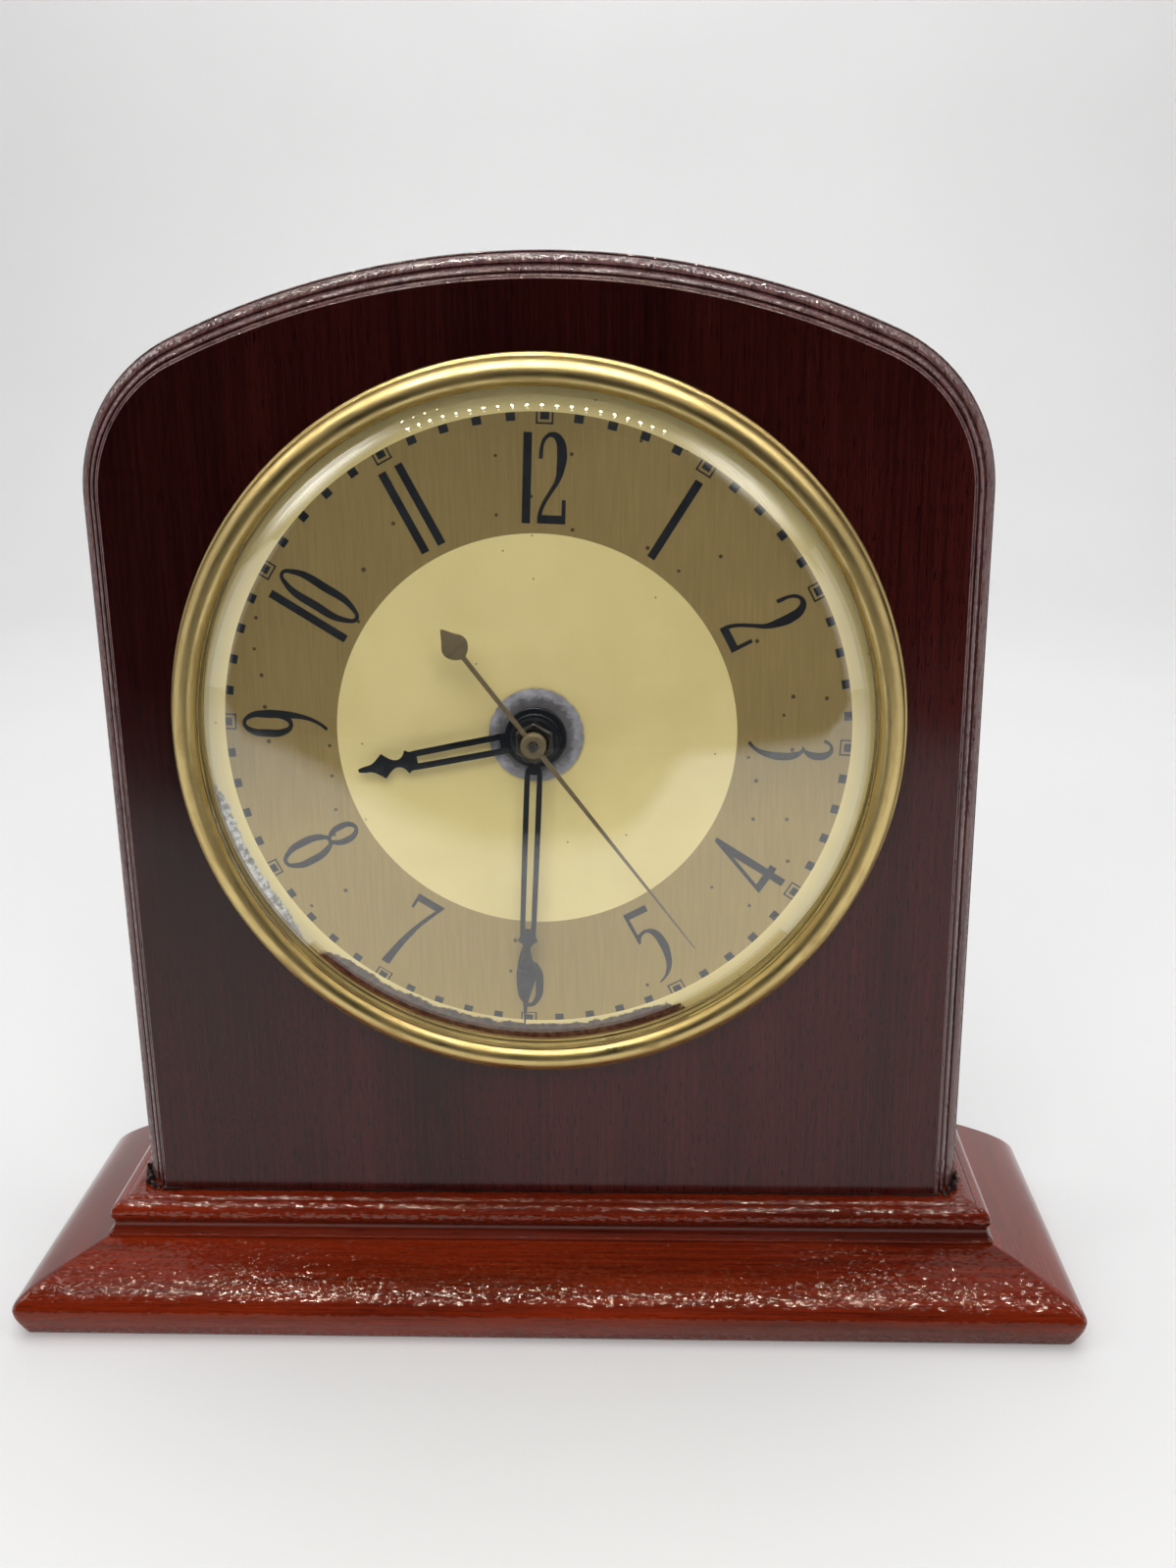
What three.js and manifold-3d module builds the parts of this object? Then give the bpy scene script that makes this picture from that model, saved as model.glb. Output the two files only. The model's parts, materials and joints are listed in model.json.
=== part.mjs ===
// Electric mantel clock: a round-topped wooden case on a moulded base, a domed dial with three hands,
// and a hand-started synchronous movement behind the dial.
// Millimetres, +Z up, the dial faces -Y. The origin is the centre of the base's underside.
import * as THREE from 'three';
import { mergeVertices } from 'three/addons/utils/BufferGeometryUtils.js';
import Module from 'manifold-3d';

const wasm = await Module();
wasm.setup();

// Clearances
const seatGap = 0.2; // between pieces that rest on or in each other
const runningGap = 0.25; // around a shaft that turns in its hole
const freeGap = 0.6; // around a piece that passes through another without touching

// Roundness, as counts of flat sides
const screwSides = 8;
const shaftSides = 10;
const holeSides = 10;
const ringSides = 40;
const knobSides = 20;
const arcSteps = 10;
const cornerSteps = 5;
const mouldingSteps = 3;

// Case. Depths are measured back from the face of the front panel
const caseWidth = 160.8;
const caseHeight = 196;
const caseDepth = 40;
const archRadius = 152;
const shoulderRadius = 30;
const wallThickness = 8;
const panelThickness = 9.5;
const panelOpeningRadius = 32;
const innerReedWidth = 2.2;
const innerReedDepth = 2.3;
const outerReedWidth = 2.5;
const outerReedDepth = 4.4;

// Plinth and base
const plinthHeight = 6.7;
const plinthOverhang = 5;
const plinthFlare = 1.5;
const plinthBeadHeight = 3.2;
const plinthBeadReach = 2.4;
const baseHeight = 13.1;
const baseOverhang = 14.2;
const baseNoseHeight = 5.5;
const baseUndercut = 2.1;
const baseBackLip = 2.3;

// Dial, bezel and glass
const dialHeight = 113.6;
const bezelRadius = 66;
const bezelBeadWidth = 0.9;
const bezelBeadHeight = 1.4;
const bezelRollWidth = 3.6;
const bezelRollHeight = 2.2;
const bezelWallHeight = 3;
const bezelLipThickness = 0.7;
const bezelFootWidth = 2.8;
const dialThickness = 0.9;
const dialHoleRadius = 4;
const dialWasherRadius = 8.5;
const dialWasherThickness = 0.5;
const glassThickness = 1.6;
const glassCrownRadius = 300;
const glassShoulderRadius = 15.4;
const glassRimAngle = 64;

// Wood screws
const coverScrewRadius = 1.2;
const coverScrewHead = 2.6;
const coverScrewHeadHeight = 1.3;
const coverScrewLength = 9;
const coverScrewRise = 24.8;
const coverScrewDrop = 14.9;
const baseScrewRadius = 1.5;
const baseScrewHead = 3.4;
const baseScrewHeadHeight = 1.6;
const baseScrewRecess = 3;
const baseScrewBite = 12;
const movementScrewRadius = 1.3;
const movementScrewHead = 2.5;
const movementScrewHeadHeight = 1.4;
const movementScrewBite = 6.5;

// Back cover and the cord's inlet
const coverThickness = 1.2;
const coverInset = 1.5;
const grommetAcross = -45;
const grommetHeight = 36;
const grommetBoreRadius = 3.6;
const grommetNeckRadius = 5;
const grommetFlangeRadius = 6.4;
const grommetFlangeThickness = 1.3;

// Movement frame, measured from the dial's axis
const plateThickness = 1.5;
const plateHalfWidth = 37;
const plateTop = 36;
const plateBottom = -50;
const plateCornerRadius = 4;
const pillarRadius = 2.6;
const pillarPivotRadius = 1.4;
const pillarInset = 5;
const movementScrewInset = 5;
const movementScrewUp = 22;

// Gear cutting, as shares of the module or of the pitch
const addendum = 0.8;
const dedendum = 1.1;
const toothShare = 0.36;
const pressureAngle = 20;
const wheelThickness = 1.2;
const pinionThickness = 1.8;
const levelMargin = 0.7;

// Running train: rotor, first, second, seconds, third and centre arbors
const pinionLeaves = 6;
const firstTeeth = 36;
const secondTeeth = 30;
const secondsTeeth = 48;
const thirdTeeth = 45;
const centreTeeth = 48;
const fastModule = 0.65;
const trainModule = 0.7;
const wheelClearance = 1.28; // between a wheel's teeth and the arbor that they pass
const thirdBearing = -30;
const secondBearing = 235;
const firstBearing = 270;
const rotorBearing = -37.4;
const arborRadius = 0.9;
const secondsArborRadius = 0.8;
const centreTubeWall = 0.4;

// Motion work and hand setting
const cannonLeaves = 10;
const minuteTeeth = 30;
const minuteLeaves = 8;
const hourTeeth = 32;
const setLeaves = 10;
const motionModule = 0.65;
const minuteBearing = 90;
const setBearing = 40;
const cannonWall = 0.55;
const hourPipeWall = 0.7;
const minutePostRadius = 1;
const hourWheelDepth = 3;
const minuteWheelDepth = 5.8;
const clutchRadius = 4;
const clutchThickness = 0.4;
const setArborRadius = 1.1;

// Motor
const rotorPoles = 30;
const rotorModule = 1.1;
const rotorThickness = 5;
const rotorShaftRadius = 1;
const airGap = 0.5;
const statorThickness = 6;
const statorRingWidth = 6;
const statorArmWidth = 8;
const statorStandoff = 3;
const statorScrewRadius = 1.1;
const statorScrewHead = 2.1;
const statorScrewHeadHeight = 1.2;
const statorSpacerRadius = 2.2;
const coilGap = 0.9;
const coilCoreHeight = 8;
const bobbinWall = 0.8;
const bobbinFlangeThickness = 1.2;
const bobbinFlangeDepth = 12;
const bobbinFlangeHeight = 17;
const windingThickness = 2;
const motorClearance = 1.7;

// Knobs
const knobStandoff = 0.7;
const startKnobRadius = 9;
const setKnobRadius = 7;
const knobLength = 8;
const knobBossRadius = 4;
const knobBossLength = 1.5;
const knobSocketDepth = 6;
const knobEdge = 1;

// Hands, with their angles clockwise from twelve as the dial is read
const handThickness = 0.5;
const hourHandAngle = 259.2;
const minuteHandAngle = 183.2;
const secondsHandAngle = 143.2;
const hourHandLength = 31.3;
const minuteTipMargin = 7.5; // from the hand's tip out to the bezel's lip
const secondsTipMargin = 14.4;
const secondsTailLength = 25.6;
const hourHandLift = 1.6;
const handGap = 0.6;
const hourHubRadius = 5.5;
const minuteHubRadius = 4.2;
const secondsHubRadius = 2.25;
const hubThickness = 1.4;
const minuteNutAcross = 6.4;
const minuteNutThickness = 1.2;
const secondsArborTip = 0.5;

// Places that follow from the sizes above
const halfCase = caseWidth / 2;
const panelFoot = baseHeight + seatGap + plinthHeight + seatGap;
const plinthFoot = baseHeight + seatGap;
const wallFront = panelThickness + seatGap;
const shoulderAcross = halfCase - shoulderRadius;
const archCentre = caseHeight - archRadius;
const archSplit = Math.asin(shoulderAcross / (archRadius - shoulderRadius));
const shoulderHeight = archCentre + (archRadius - shoulderRadius) * Math.cos(archSplit);
const wallMiddle = halfCase - wallThickness / 2;
const wallTop = shoulderHeight - seatGap;
const coverScrewLow = panelFoot + coverScrewRise;
const coverScrewHigh = wallTop - coverScrewDrop;
const baseScrewDepth = (wallFront + caseDepth) / 2;
const baseBack = caseDepth + baseBackLip;
const baseFront = -(plinthOverhang + plinthFlare + baseOverhang);

const dialFace = -(seatGap + dialThickness);
const minuteHandLift = hourHandLift + hubThickness + handGap;
const secondsHandLift = minuteHandLift + hubThickness + seatGap + minuteNutThickness + handGap;
const coverFront = caseDepth + seatGap;
const coverBack = coverFront + coverThickness;

// The motor lies against the back cover, and the train fills the room between the plates
const bobbinWindowGrowth = 2 * (seatGap + bobbinWall + seatGap);
const windingDepth = statorThickness + bobbinWindowGrowth + 2 * windingThickness;
const motorMiddle = coverFront - motorClearance - windingDepth / 2;
const statorFront = motorMiddle - statorThickness / 2;
const statorBack = motorMiddle + statorThickness / 2;
const backPlateBack = statorFront - statorStandoff;
const backPlateFront = backPlateBack - plateThickness;
const frontPlateFront = panelThickness + seatGap;
const frontPlateBack = frontPlateFront + plateThickness;
const levels = 5;
const trainRoom = backPlateFront - frontPlateBack - 2 * levelMargin - pinionThickness;
const levelPitch = trainRoom / (levels - 1);

const centreTubeBore = secondsArborRadius + runningGap;
const centreTubeRadius = centreTubeBore + centreTubeWall;
const cannonBore = centreTubeRadius + runningGap;
const cannonRadius = cannonBore + cannonWall;
const hourPipeBore = cannonRadius + runningGap;
const hourPipeRadius = hourPipeBore + hourPipeWall;

// Materials
function finish(color, roughness, metalness) {
  return new THREE.MeshStandardMaterial({ color, roughness, metalness });
}
const panelWood = finish(0x2b0f0d, 0.3, 0);
const baseWood = finish(0x6e2114, 0.3, 0);
const caseWood = finish(0x3a1510, 0.4, 0);
const brass = finish(0xc9a24b, 0.3, 1);
const steel = finish(0x9a9a98, 0.35, 1);
const bluedSteel = finish(0x20242c, 0.35, 1);
const dialPaint = finish(0xe6d9a4, 0.5, 0);
const greyFibre = finish(0x8d8a92, 0.7, 0);
const clearGlass = finish(0xf4f6f2, 0.05, 0);
const coverPaint = finish(0x3b2a20, 0.6, 0.2);
const blackRubber = finish(0x161616, 0.8, 0);
const blackMoulding = finish(0x1a1614, 0.4, 0);
const copper = finish(0xa8562c, 0.4, 1);
const fibre = finish(0x7a5a34, 0.8, 0);
const magnetSteel = finish(0x6b6864, 0.5, 1);

// Geometry with its shared corners merged and its empty triangles dropped
function clean(geometry) {
  const bare = geometry.clone();
  bare.deleteAttribute('normal');
  bare.deleteAttribute('uv');
  const merged = mergeVertices(bare);
  const kept = [];
  const corners = merged.index.array;
  for (let i = 0; i < corners.length; i += 3) {
    const [a, b, c] = corners.slice(i, i + 3);
    if (a !== b && b !== c && c !== a) {
      kept.push(a, b, c);
    }
  }
  merged.setIndex(kept);
  return merged;
}

function toSolid(geometry) {
  const mesh = clean(geometry);
  return new wasm.Manifold(new wasm.Mesh({
    numProp: 3,
    vertProperties: new Float32Array(mesh.attributes.position.array),
    triVerts: new Uint32Array(mesh.index.array),
  }));
}

function fromSolid(solid) {
  const mesh = solid.getMesh();
  const geometry = new THREE.BufferGeometry();
  geometry.setAttribute('position', new THREE.BufferAttribute(mesh.vertProperties, 3));
  geometry.setIndex(new THREE.BufferAttribute(mesh.triVerts, 1));
  return geometry;
}

function join(...geometries) {
  return fromSolid(geometries.map(toSolid).reduce((whole, piece) => whole.add(piece)));
}

function cut(geometry, tools) {
  return fromSolid(tools.map(toSolid).reduce((rest, tool) => rest.subtract(tool), toSolid(geometry)));
}

// Places a geometry as a named mesh, at a point across and up
function place(group, name, geometry, material, at = new THREE.Vector2()) {
  const mesh = new THREE.Mesh(clean(geometry), material);
  mesh.name = name;
  mesh.position.set(at.x, 0, at.y);
  group.add(mesh);
  return mesh;
}

function polar(radius, degrees) {
  const angle = THREE.MathUtils.degToRad(degrees);
  return new THREE.Vector2(radius * Math.cos(angle), radius * Math.sin(angle));
}

// A flat outline, drawn as it is seen from the front, with its depth from front to back
function slab(shape, front, back) {
  const depth = back - front;
  const settings = { depth, bevelEnabled: false, curveSegments: cornerSteps };
  return new THREE.ExtrudeGeometry(shape, settings).rotateX(Math.PI / 2).translate(0, back, 0);
}

function rod(radius, front, back, sides = shaftSides) {
  return new THREE.CylinderGeometry(radius, radius, back - front, sides).translate(0, (front + back) / 2, 0);
}

function upright(radius, low, high) {
  const geometry = new THREE.CylinderGeometry(radius, radius, high - low, holeSides).rotateX(Math.PI / 2);
  return geometry.translate(0, 0, (low + high) / 2);
}

// Turned about the depth axis; a profile of [radius, depth] runs out along the front and home along the back
function turned(profile, sides) {
  return new THREE.LatheGeometry(profile.map(([radius, depth]) => new THREE.Vector2(radius, depth)), sides);
}

function tube(bore, radius, front, back, sides) {
  return turned([[bore, front], [radius, front], [radius, back], [bore, back], [bore, front]], sides);
}

function circle(radius, sides, at = new THREE.Vector2()) {
  const points = [];
  for (let i = 0; i < sides; i++) {
    points.push(polar(radius, 360 * i / sides).add(at));
  }
  return points;
}

function roundHole(shape, radius, at, sides = holeSides) {
  shape.holes.push(new THREE.Path(circle(radius, sides, at)));
}

// Closed solid through outlines that have equal counts of points, each at its height
function loft(sections) {
  const count = sections[0].outline.length;
  const positions = sections.flatMap(({ outline, height }) => outline.flatMap((p) => [p.x, p.y, height]));
  const index = [];
  for (let level = 0; level + 1 < sections.length; level++) {
    for (let i = 0; i < count; i++) {
      const a = level * count + i;
      const b = level * count + (i + 1) % count;
      index.push(a, b, b + count, a, b + count, a + count);
    }
  }
  const last = (sections.length - 1) * count;
  for (const [a, b, c] of THREE.ShapeUtils.triangulateShape(sections[0].outline, [])) {
    index.push(c, b, a);
  }
  for (const [a, b, c] of THREE.ShapeUtils.triangulateShape(sections.at(-1).outline, [])) {
    index.push(last + a, last + b, last + c);
  }
  const geometry = new THREE.BufferGeometry();
  geometry.setAttribute('position', new THREE.Float32BufferAttribute(positions, 3));
  geometry.setIndex(index);
  return geometry;
}

// The case's round top, drawn in by an even inset, from the right shoulder over to the left
function archArcs(inset) {
  const split = THREE.MathUtils.radToDeg(archSplit);
  const arcs = [
    [shoulderAcross, shoulderHeight, shoulderRadius - inset, 0, 90 - split],
    [0, archCentre, archRadius - inset, 90 - split, 90 + split],
    [-shoulderAcross, shoulderHeight, shoulderRadius - inset, 90 + split, 180],
  ];
  const points = [];
  arcs.forEach(([x, y, radius, from, to], order) => {
    for (let i = order === 0 ? 0 : 1; i <= arcSteps; i++) {
      points.push(polar(radius, from + (to - from) * i / arcSteps).add(new THREE.Vector2(x, y)));
    }
  });
  return points;
}

// The whole outline of the case, cut off level at its foot
function archOutline(inset, foot) {
  const half = halfCase - inset;
  return [new THREE.Vector2(-half, foot), new THREE.Vector2(half, foot), ...archArcs(inset)];
}

// Quarter of an ellipse as [reach, rise] pairs, from full reach to full rise
function quarterRound(reach, rise) {
  const pairs = [];
  for (let i = 0; i <= mouldingSteps; i++) {
    const angle = Math.PI / 2 * i / mouldingSteps;
    pairs.push([reach * Math.cos(angle), rise * Math.sin(angle)]);
  }
  return pairs;
}

// A board with the same moulding along its front and both ends, and a square back
function mouldedBoard(profile, back) {
  return loft(profile.map(([overhang, height]) => {
    const half = halfCase + overhang;
    const corners = [[-half, -overhang], [half, -overhang], [half, back], [-half, back]];
    return { outline: corners.map(([x, y]) => new THREE.Vector2(x, y)), height };
  }));
}

function frontPanel() {
  const reeds = innerReedWidth + outerReedWidth;
  const inner = quarterRound(innerReedWidth, innerReedDepth);
  const outer = quarterRound(outerReedWidth, outerReedDepth);
  const outerEnd = panelThickness - innerReedDepth;
  const sections = [{ inset: 0, height: 0 }];
  for (const [reach, rise] of outer) {
    sections.push({ inset: outerReedWidth - reach, height: outerEnd - outerReedDepth + rise });
  }
  for (const [reach, rise] of inner.slice(1)) {
    sections.push({ inset: reeds - reach, height: outerEnd + rise });
  }
  const rings = sections.map(({ inset, height }) => ({ outline: archOutline(inset, panelFoot), height }));
  const board = loft(rings).rotateX(Math.PI / 2).translate(0, panelThickness, 0);
  const opening = rod(panelOpeningRadius, -panelThickness, 2 * panelThickness, ringSides);
  opening.translate(0, 0, dialHeight);
  const pilots = movementScrewPlaces().map((at) => rod(
    movementScrewRadius + seatGap,
    panelThickness - movementScrewBite - seatGap,
    2 * panelThickness,
  ).translate(at.x, 0, at.y + dialHeight));
  return cut(board, [opening, ...pilots]);
}

// Plinth: a cove that flares out to the foot, with a round bead above it
function plinthBoard() {
  const coveHeight = plinthHeight - plinthBeadHeight;
  const cove = quarterRound(plinthFlare, coveHeight).reverse();
  const bead = quarterRound(plinthBeadReach, plinthBeadHeight).slice(1);
  const profile = [
    ...cove.map(([out, rise]) => [plinthOverhang + plinthFlare - out, plinthFoot + coveHeight - rise]),
    ...bead.map(([out, rise]) => [plinthOverhang - plinthBeadReach + out, plinthFoot + coveHeight + rise]),
  ];
  return cut(mouldedBoard(profile, caseDepth), baseScrewHoles(baseScrewRadius + seatGap));
}

// Base: a long convex slope down to the nose, tucked under to the flat underside
function baseBoard() {
  const reach = plinthOverhang + plinthFlare;
  const tuck = quarterRound(baseUndercut, baseNoseHeight).reverse();
  const slope = quarterRound(baseOverhang, baseHeight - baseNoseHeight).slice(1);
  const profile = [
    ...tuck.map(([out, rise]) => [reach + baseOverhang - baseUndercut + out, baseNoseHeight - rise]),
    ...slope.map(([out, rise]) => [reach + out, baseNoseHeight + rise]),
  ];
  const recesses = [-1, 1].map((side) => upright(baseScrewHead + seatGap, -baseHeight, baseScrewRecess)
    .translate(side * wallMiddle, baseScrewDepth, 0));
  return cut(mouldedBoard(profile, baseBack), [...recesses, ...baseScrewHoles(baseScrewRadius + seatGap)]);
}

// The two screw holes that run up from the base into the side walls
function baseScrewHoles(radius) {
  return [-1, 1].map((side) => upright(radius, -baseHeight, panelFoot + baseScrewBite + seatGap)
    .translate(side * wallMiddle, baseScrewDepth, 0));
}

function baseScrew() {
  const headTop = baseScrewRecess - seatGap;
  const head = upright(baseScrewHead, headTop - baseScrewHeadHeight, headTop);
  const shank = upright(baseScrewRadius, headTop - baseScrewHeadHeight / 2, panelFoot + baseScrewBite);
  return join(head, shank);
}

function sideWall(side) {
  const depth = caseDepth - wallFront;
  const height = wallTop - panelFoot;
  const board = new THREE.BoxGeometry(wallThickness, depth, height);
  board.translate(side * wallMiddle, wallFront + depth / 2, panelFoot + height / 2);
  const heights = [coverScrewLow, coverScrewHigh];
  const pilots = heights.map((height) => coverScrewPilot().translate(side * wallMiddle, 0, height));
  return cut(board, [...baseScrewHoles(baseScrewRadius + seatGap), ...pilots]);
}

function coverScrewPilot() {
  return rod(coverScrewRadius + seatGap, coverBack - coverScrewLength - seatGap, 2 * coverBack);
}

// The bent piece above the side walls, from shoulder to shoulder
function archTop() {
  const outer = archArcs(0);
  const inner = archArcs(wallThickness).reverse();
  return slab(new THREE.Shape([...outer, ...inner]), wallFront, caseDepth);
}

function backCover(holes) {
  const shape = new THREE.Shape(archOutline(coverInset, panelFoot));
  for (const { at, radius, sides } of holes) {
    roundHole(shape, radius, at, sides);
  }
  return slab(shape, coverFront, coverBack);
}

// A round-headed screw driven towards the front, its head seated on a face
function screw(radius, head, headHeight, seat, tip) {
  return turned([
    [0, tip], [radius, tip], [radius, seat], [head, seat], [head, seat + headHeight / 2],
    [head / 2, seat + headHeight], [0, seat + headHeight],
  ], screwSides);
}

function grommet() {
  const front = coverFront - seatGap - grommetFlangeThickness;
  const back = coverBack + seatGap + grommetFlangeThickness;
  return turned([
    [grommetBoreRadius, front], [grommetFlangeRadius, front], [grommetFlangeRadius, coverFront - seatGap],
    [grommetNeckRadius, coverFront - seatGap], [grommetNeckRadius, coverBack + seatGap],
    [grommetFlangeRadius, coverBack + seatGap], [grommetFlangeRadius, back], [grommetBoreRadius, back],
    [grommetBoreRadius, front],
  ], knobSides);
}

// Bezel: a convex roll with a lip over the glass, and a thin bead round its foot
const bezelRollOuter = bezelRadius - bezelBeadWidth;
const bezelLipRadius = bezelRollOuter - bezelRollWidth;
const bezelBore = bezelRadius - bezelFootWidth;
const bezelFoot = -seatGap;
const bezelShoulder = bezelFoot - bezelWallHeight;
const glassBack = dialFace - seatGap;
const glassFront = glassBack - glassThickness;

function bezelRing() {
  const rollMiddle = (bezelLipRadius + bezelRollOuter) / 2;
  const roll = [];
  for (let i = 0; i <= 2 * mouldingSteps; i++) {
    const angle = Math.PI * i / (2 * mouldingSteps);
    roll.push([
      rollMiddle - bezelRollWidth / 2 * Math.cos(angle),
      bezelShoulder - bezelLipThickness - bezelRollHeight * Math.sin(angle),
    ]);
  }
  return turned([
    ...roll, [bezelRollOuter, bezelFoot - bezelBeadHeight], [bezelRadius, bezelFoot - bezelBeadHeight / 2],
    [bezelRadius, bezelFoot], [bezelBore, bezelFoot], [bezelBore, bezelShoulder],
    [bezelLipRadius, bezelShoulder], roll[0],
  ], ringSides);
}

// Glass: a shallow crown that turns down through a tight shoulder to a flat rim held under the bezel's lip
function glassDome() {
  const rimRadius = bezelBore - seatGap;
  const rimTilt = THREE.MathUtils.degToRad(glassRimAngle);
  const shoulderStart = bezelLipRadius - seatGap - glassShoulderRadius * Math.sin(rimTilt);
  const crownTilt = Math.asin(shoulderStart / (glassCrownRadius - glassShoulderRadius));
  const shoulderCentre = glassFront + glassShoulderRadius * Math.cos(rimTilt);
  const crownCentre = shoulderCentre + (glassCrownRadius - glassShoulderRadius) * Math.cos(crownTilt);
  const skin = (inset) => {
    const line = [];
    for (let i = 0; i <= mouldingSteps; i++) {
      const tilt = crownTilt * i / mouldingSteps;
      const radius = glassCrownRadius - inset;
      line.push([radius * Math.sin(tilt), crownCentre - radius * Math.cos(tilt)]);
    }
    for (let i = 1; i <= mouldingSteps; i++) {
      const tilt = crownTilt + (rimTilt - crownTilt) * i / mouldingSteps;
      const radius = glassShoulderRadius - inset;
      line.push([shoulderStart + radius * Math.sin(tilt), shoulderCentre - radius * Math.cos(tilt)]);
    }
    return line;
  };
  const inner = skin(glassThickness).reverse();
  return turned([
    ...skin(0), [rimRadius, glassFront], [rimRadius, glassBack], [inner[0][0], glassBack], ...inner,
  ], ringSides);
}

function gearOutline(teeth, module, angle) {
  const pitch = teeth * module / 2;
  const half = toothShare * Math.PI * module / 2;
  const lean = Math.tan(THREE.MathUtils.degToRad(pressureAngle));
  const tip = pitch + addendum * module;
  const root = pitch - dedendum * module;
  const halfTip = half - addendum * module * lean;
  const halfRoot = half + dedendum * module * lean;
  const points = [];
  for (let tooth = 0; tooth < teeth; tooth++) {
    for (const [radius, offset] of [[root, -halfRoot], [tip, -halfTip], [tip, halfTip], [root, halfRoot]]) {
      points.push(polar(radius, angle + 360 * tooth / teeth + THREE.MathUtils.radToDeg(offset / radius)));
    }
  }
  return points;
}

function gear({ teeth, module, angle }, front, back, bore) {
  const shape = new THREE.Shape(gearOutline(teeth, module, angle));
  if (bore) {
    shape.holes.push(new THREE.Path(circle(bore, shaftSides)));
  }
  return slab(shape, front, back);
}

// Angle of a gear's first tooth, so that it meshes with a driver that lies on the given bearing from it
function meshed(driver, bearing, teeth, module) {
  const driverPhase = driver.teeth * (bearing - driver.angle) / 360;
  return { teeth, module, angle: bearing + 180 - 360 / teeth * (0.5 - driverPhase) };
}

const distance = (teethA, teethB, module) => (teethA + teethB) * module / 2;
const tipRadius = (teeth, module) => (teeth / 2 + addendum) * module;
const firstDistance = tipRadius(firstTeeth, fastModule) + wheelClearance + arborRadius;
const firstModule = 2 * firstDistance / (pinionLeaves + secondTeeth);
const trainDistance = distance(pinionLeaves, secondsTeeth, trainModule);
const thirdModule = 2 * trainDistance / (pinionLeaves + thirdTeeth);
const centreModule = 2 * trainDistance / (pinionLeaves + centreTeeth);
const motionDistance = distance(cannonLeaves, minuteTeeth, motionModule);
const hourModule = 2 * motionDistance / (minuteLeaves + hourTeeth);

// Where each arbor stands, across and up from the dial's axis
const centreAt = new THREE.Vector2();
const thirdAt = polar(trainDistance, thirdBearing);
const secondAt = polar(trainDistance, secondBearing);
const firstAt = polar(firstDistance, firstBearing).add(secondAt);
const rotorAt = polar(distance(pinionLeaves, firstTeeth, fastModule), rotorBearing).add(firstAt);
const minuteAt = polar(motionDistance, minuteBearing);
const setAt = polar(distance(minuteTeeth, setLeaves, motionModule), setBearing).add(minuteAt);

// Gears in the order that the motion passes through them
const rotorPinion = { teeth: pinionLeaves, module: fastModule, angle: 0 };
const firstWheel = meshed(rotorPinion, rotorBearing + 180, firstTeeth, fastModule);
const firstPinion = { teeth: pinionLeaves, module: firstModule, angle: 0 };
const secondWheel = meshed(firstPinion, firstBearing + 180, secondTeeth, firstModule);
const secondPinion = { teeth: pinionLeaves, module: trainModule, angle: 0 };
const secondsWheel = meshed(secondPinion, secondBearing + 180, secondsTeeth, trainModule);
const secondsPinion = { teeth: pinionLeaves, module: thirdModule, angle: 0 };
const thirdWheel = meshed(secondsPinion, thirdBearing, thirdTeeth, thirdModule);
const thirdPinion = { teeth: pinionLeaves, module: centreModule, angle: 0 };
const centreWheel = meshed(thirdPinion, thirdBearing + 180, centreTeeth, centreModule);
const cannonPinion = { teeth: cannonLeaves, module: motionModule, angle: 0 };
const minuteWheel = meshed(cannonPinion, minuteBearing, minuteTeeth, motionModule);
const minutePinion = { teeth: minuteLeaves, module: hourModule, angle: 0 };
const hourWheel = meshed(minutePinion, minuteBearing + 180, hourTeeth, hourModule);
const setPinion = meshed(minuteWheel, setBearing, setLeaves, motionModule);

// Middle depth of a level of the train, counted back from the front plate
const levelDepth = (level) => frontPlateBack + levelMargin + pinionThickness / 2 + level * levelPitch;
const wheelAt = (wheel, level, bore) => gear(
  wheel, levelDepth(level) - wheelThickness / 2, levelDepth(level) + wheelThickness / 2, bore);
const pinionAt = (pinion, level) => gear(
  pinion, levelDepth(level) - pinionThickness / 2, levelDepth(level) + pinionThickness / 2);
const centreLevel = 0;
const thirdLevel = 1;
const secondsLevel = 2;
const secondLevel = 3;
const firstLevel = 4;

function movementScrewPlaces() {
  return [[-1, -1], [1, -1], [-1, 1], [1, 1]].map(([across, up]) => new THREE.Vector2(
    across * (plateHalfWidth - movementScrewInset), up * movementScrewUp));
}

function pillarPlaces() {
  const across = plateHalfWidth - pillarInset;
  const corners = [[-across, plateBottom], [across, plateBottom], [-across, plateTop], [across, plateTop]];
  return corners.map(([x, y]) => new THREE.Vector2(x, y - Math.sign(y) * pillarInset));
}

function plateShape() {
  const shape = new THREE.Shape();
  const corners = [
    [plateHalfWidth, plateTop, 0], [-plateHalfWidth, plateTop, 90],
    [-plateHalfWidth, plateBottom, 180], [plateHalfWidth, plateBottom, 270],
  ];
  for (const [x, y, from] of corners) {
    const [across, up] = [x, y].map((reach) => reach - Math.sign(reach) * plateCornerRadius);
    const [start, end] = [from, from + 90].map(THREE.MathUtils.degToRad);
    shape.absarc(across, up, plateCornerRadius, start, end);
  }
  pillarPlaces().forEach((at) => roundHole(shape, pillarPivotRadius + seatGap, at));
  for (const at of [thirdAt, secondAt, firstAt]) {
    roundHole(shape, arborRadius + runningGap, at);
  }
  roundHole(shape, rotorShaftRadius + runningGap, rotorAt);
  roundHole(shape, setArborRadius + runningGap, setAt);
  return shape;
}

function frontPlate() {
  const shape = plateShape();
  roundHole(shape, centreTubeRadius + runningGap, centreAt);
  roundHole(shape, minutePostRadius + seatGap, minuteAt);
  movementScrewPlaces().forEach((at) => roundHole(shape, movementScrewRadius + seatGap, at));
  return slab(shape, frontPlateFront, frontPlateBack);
}

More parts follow.
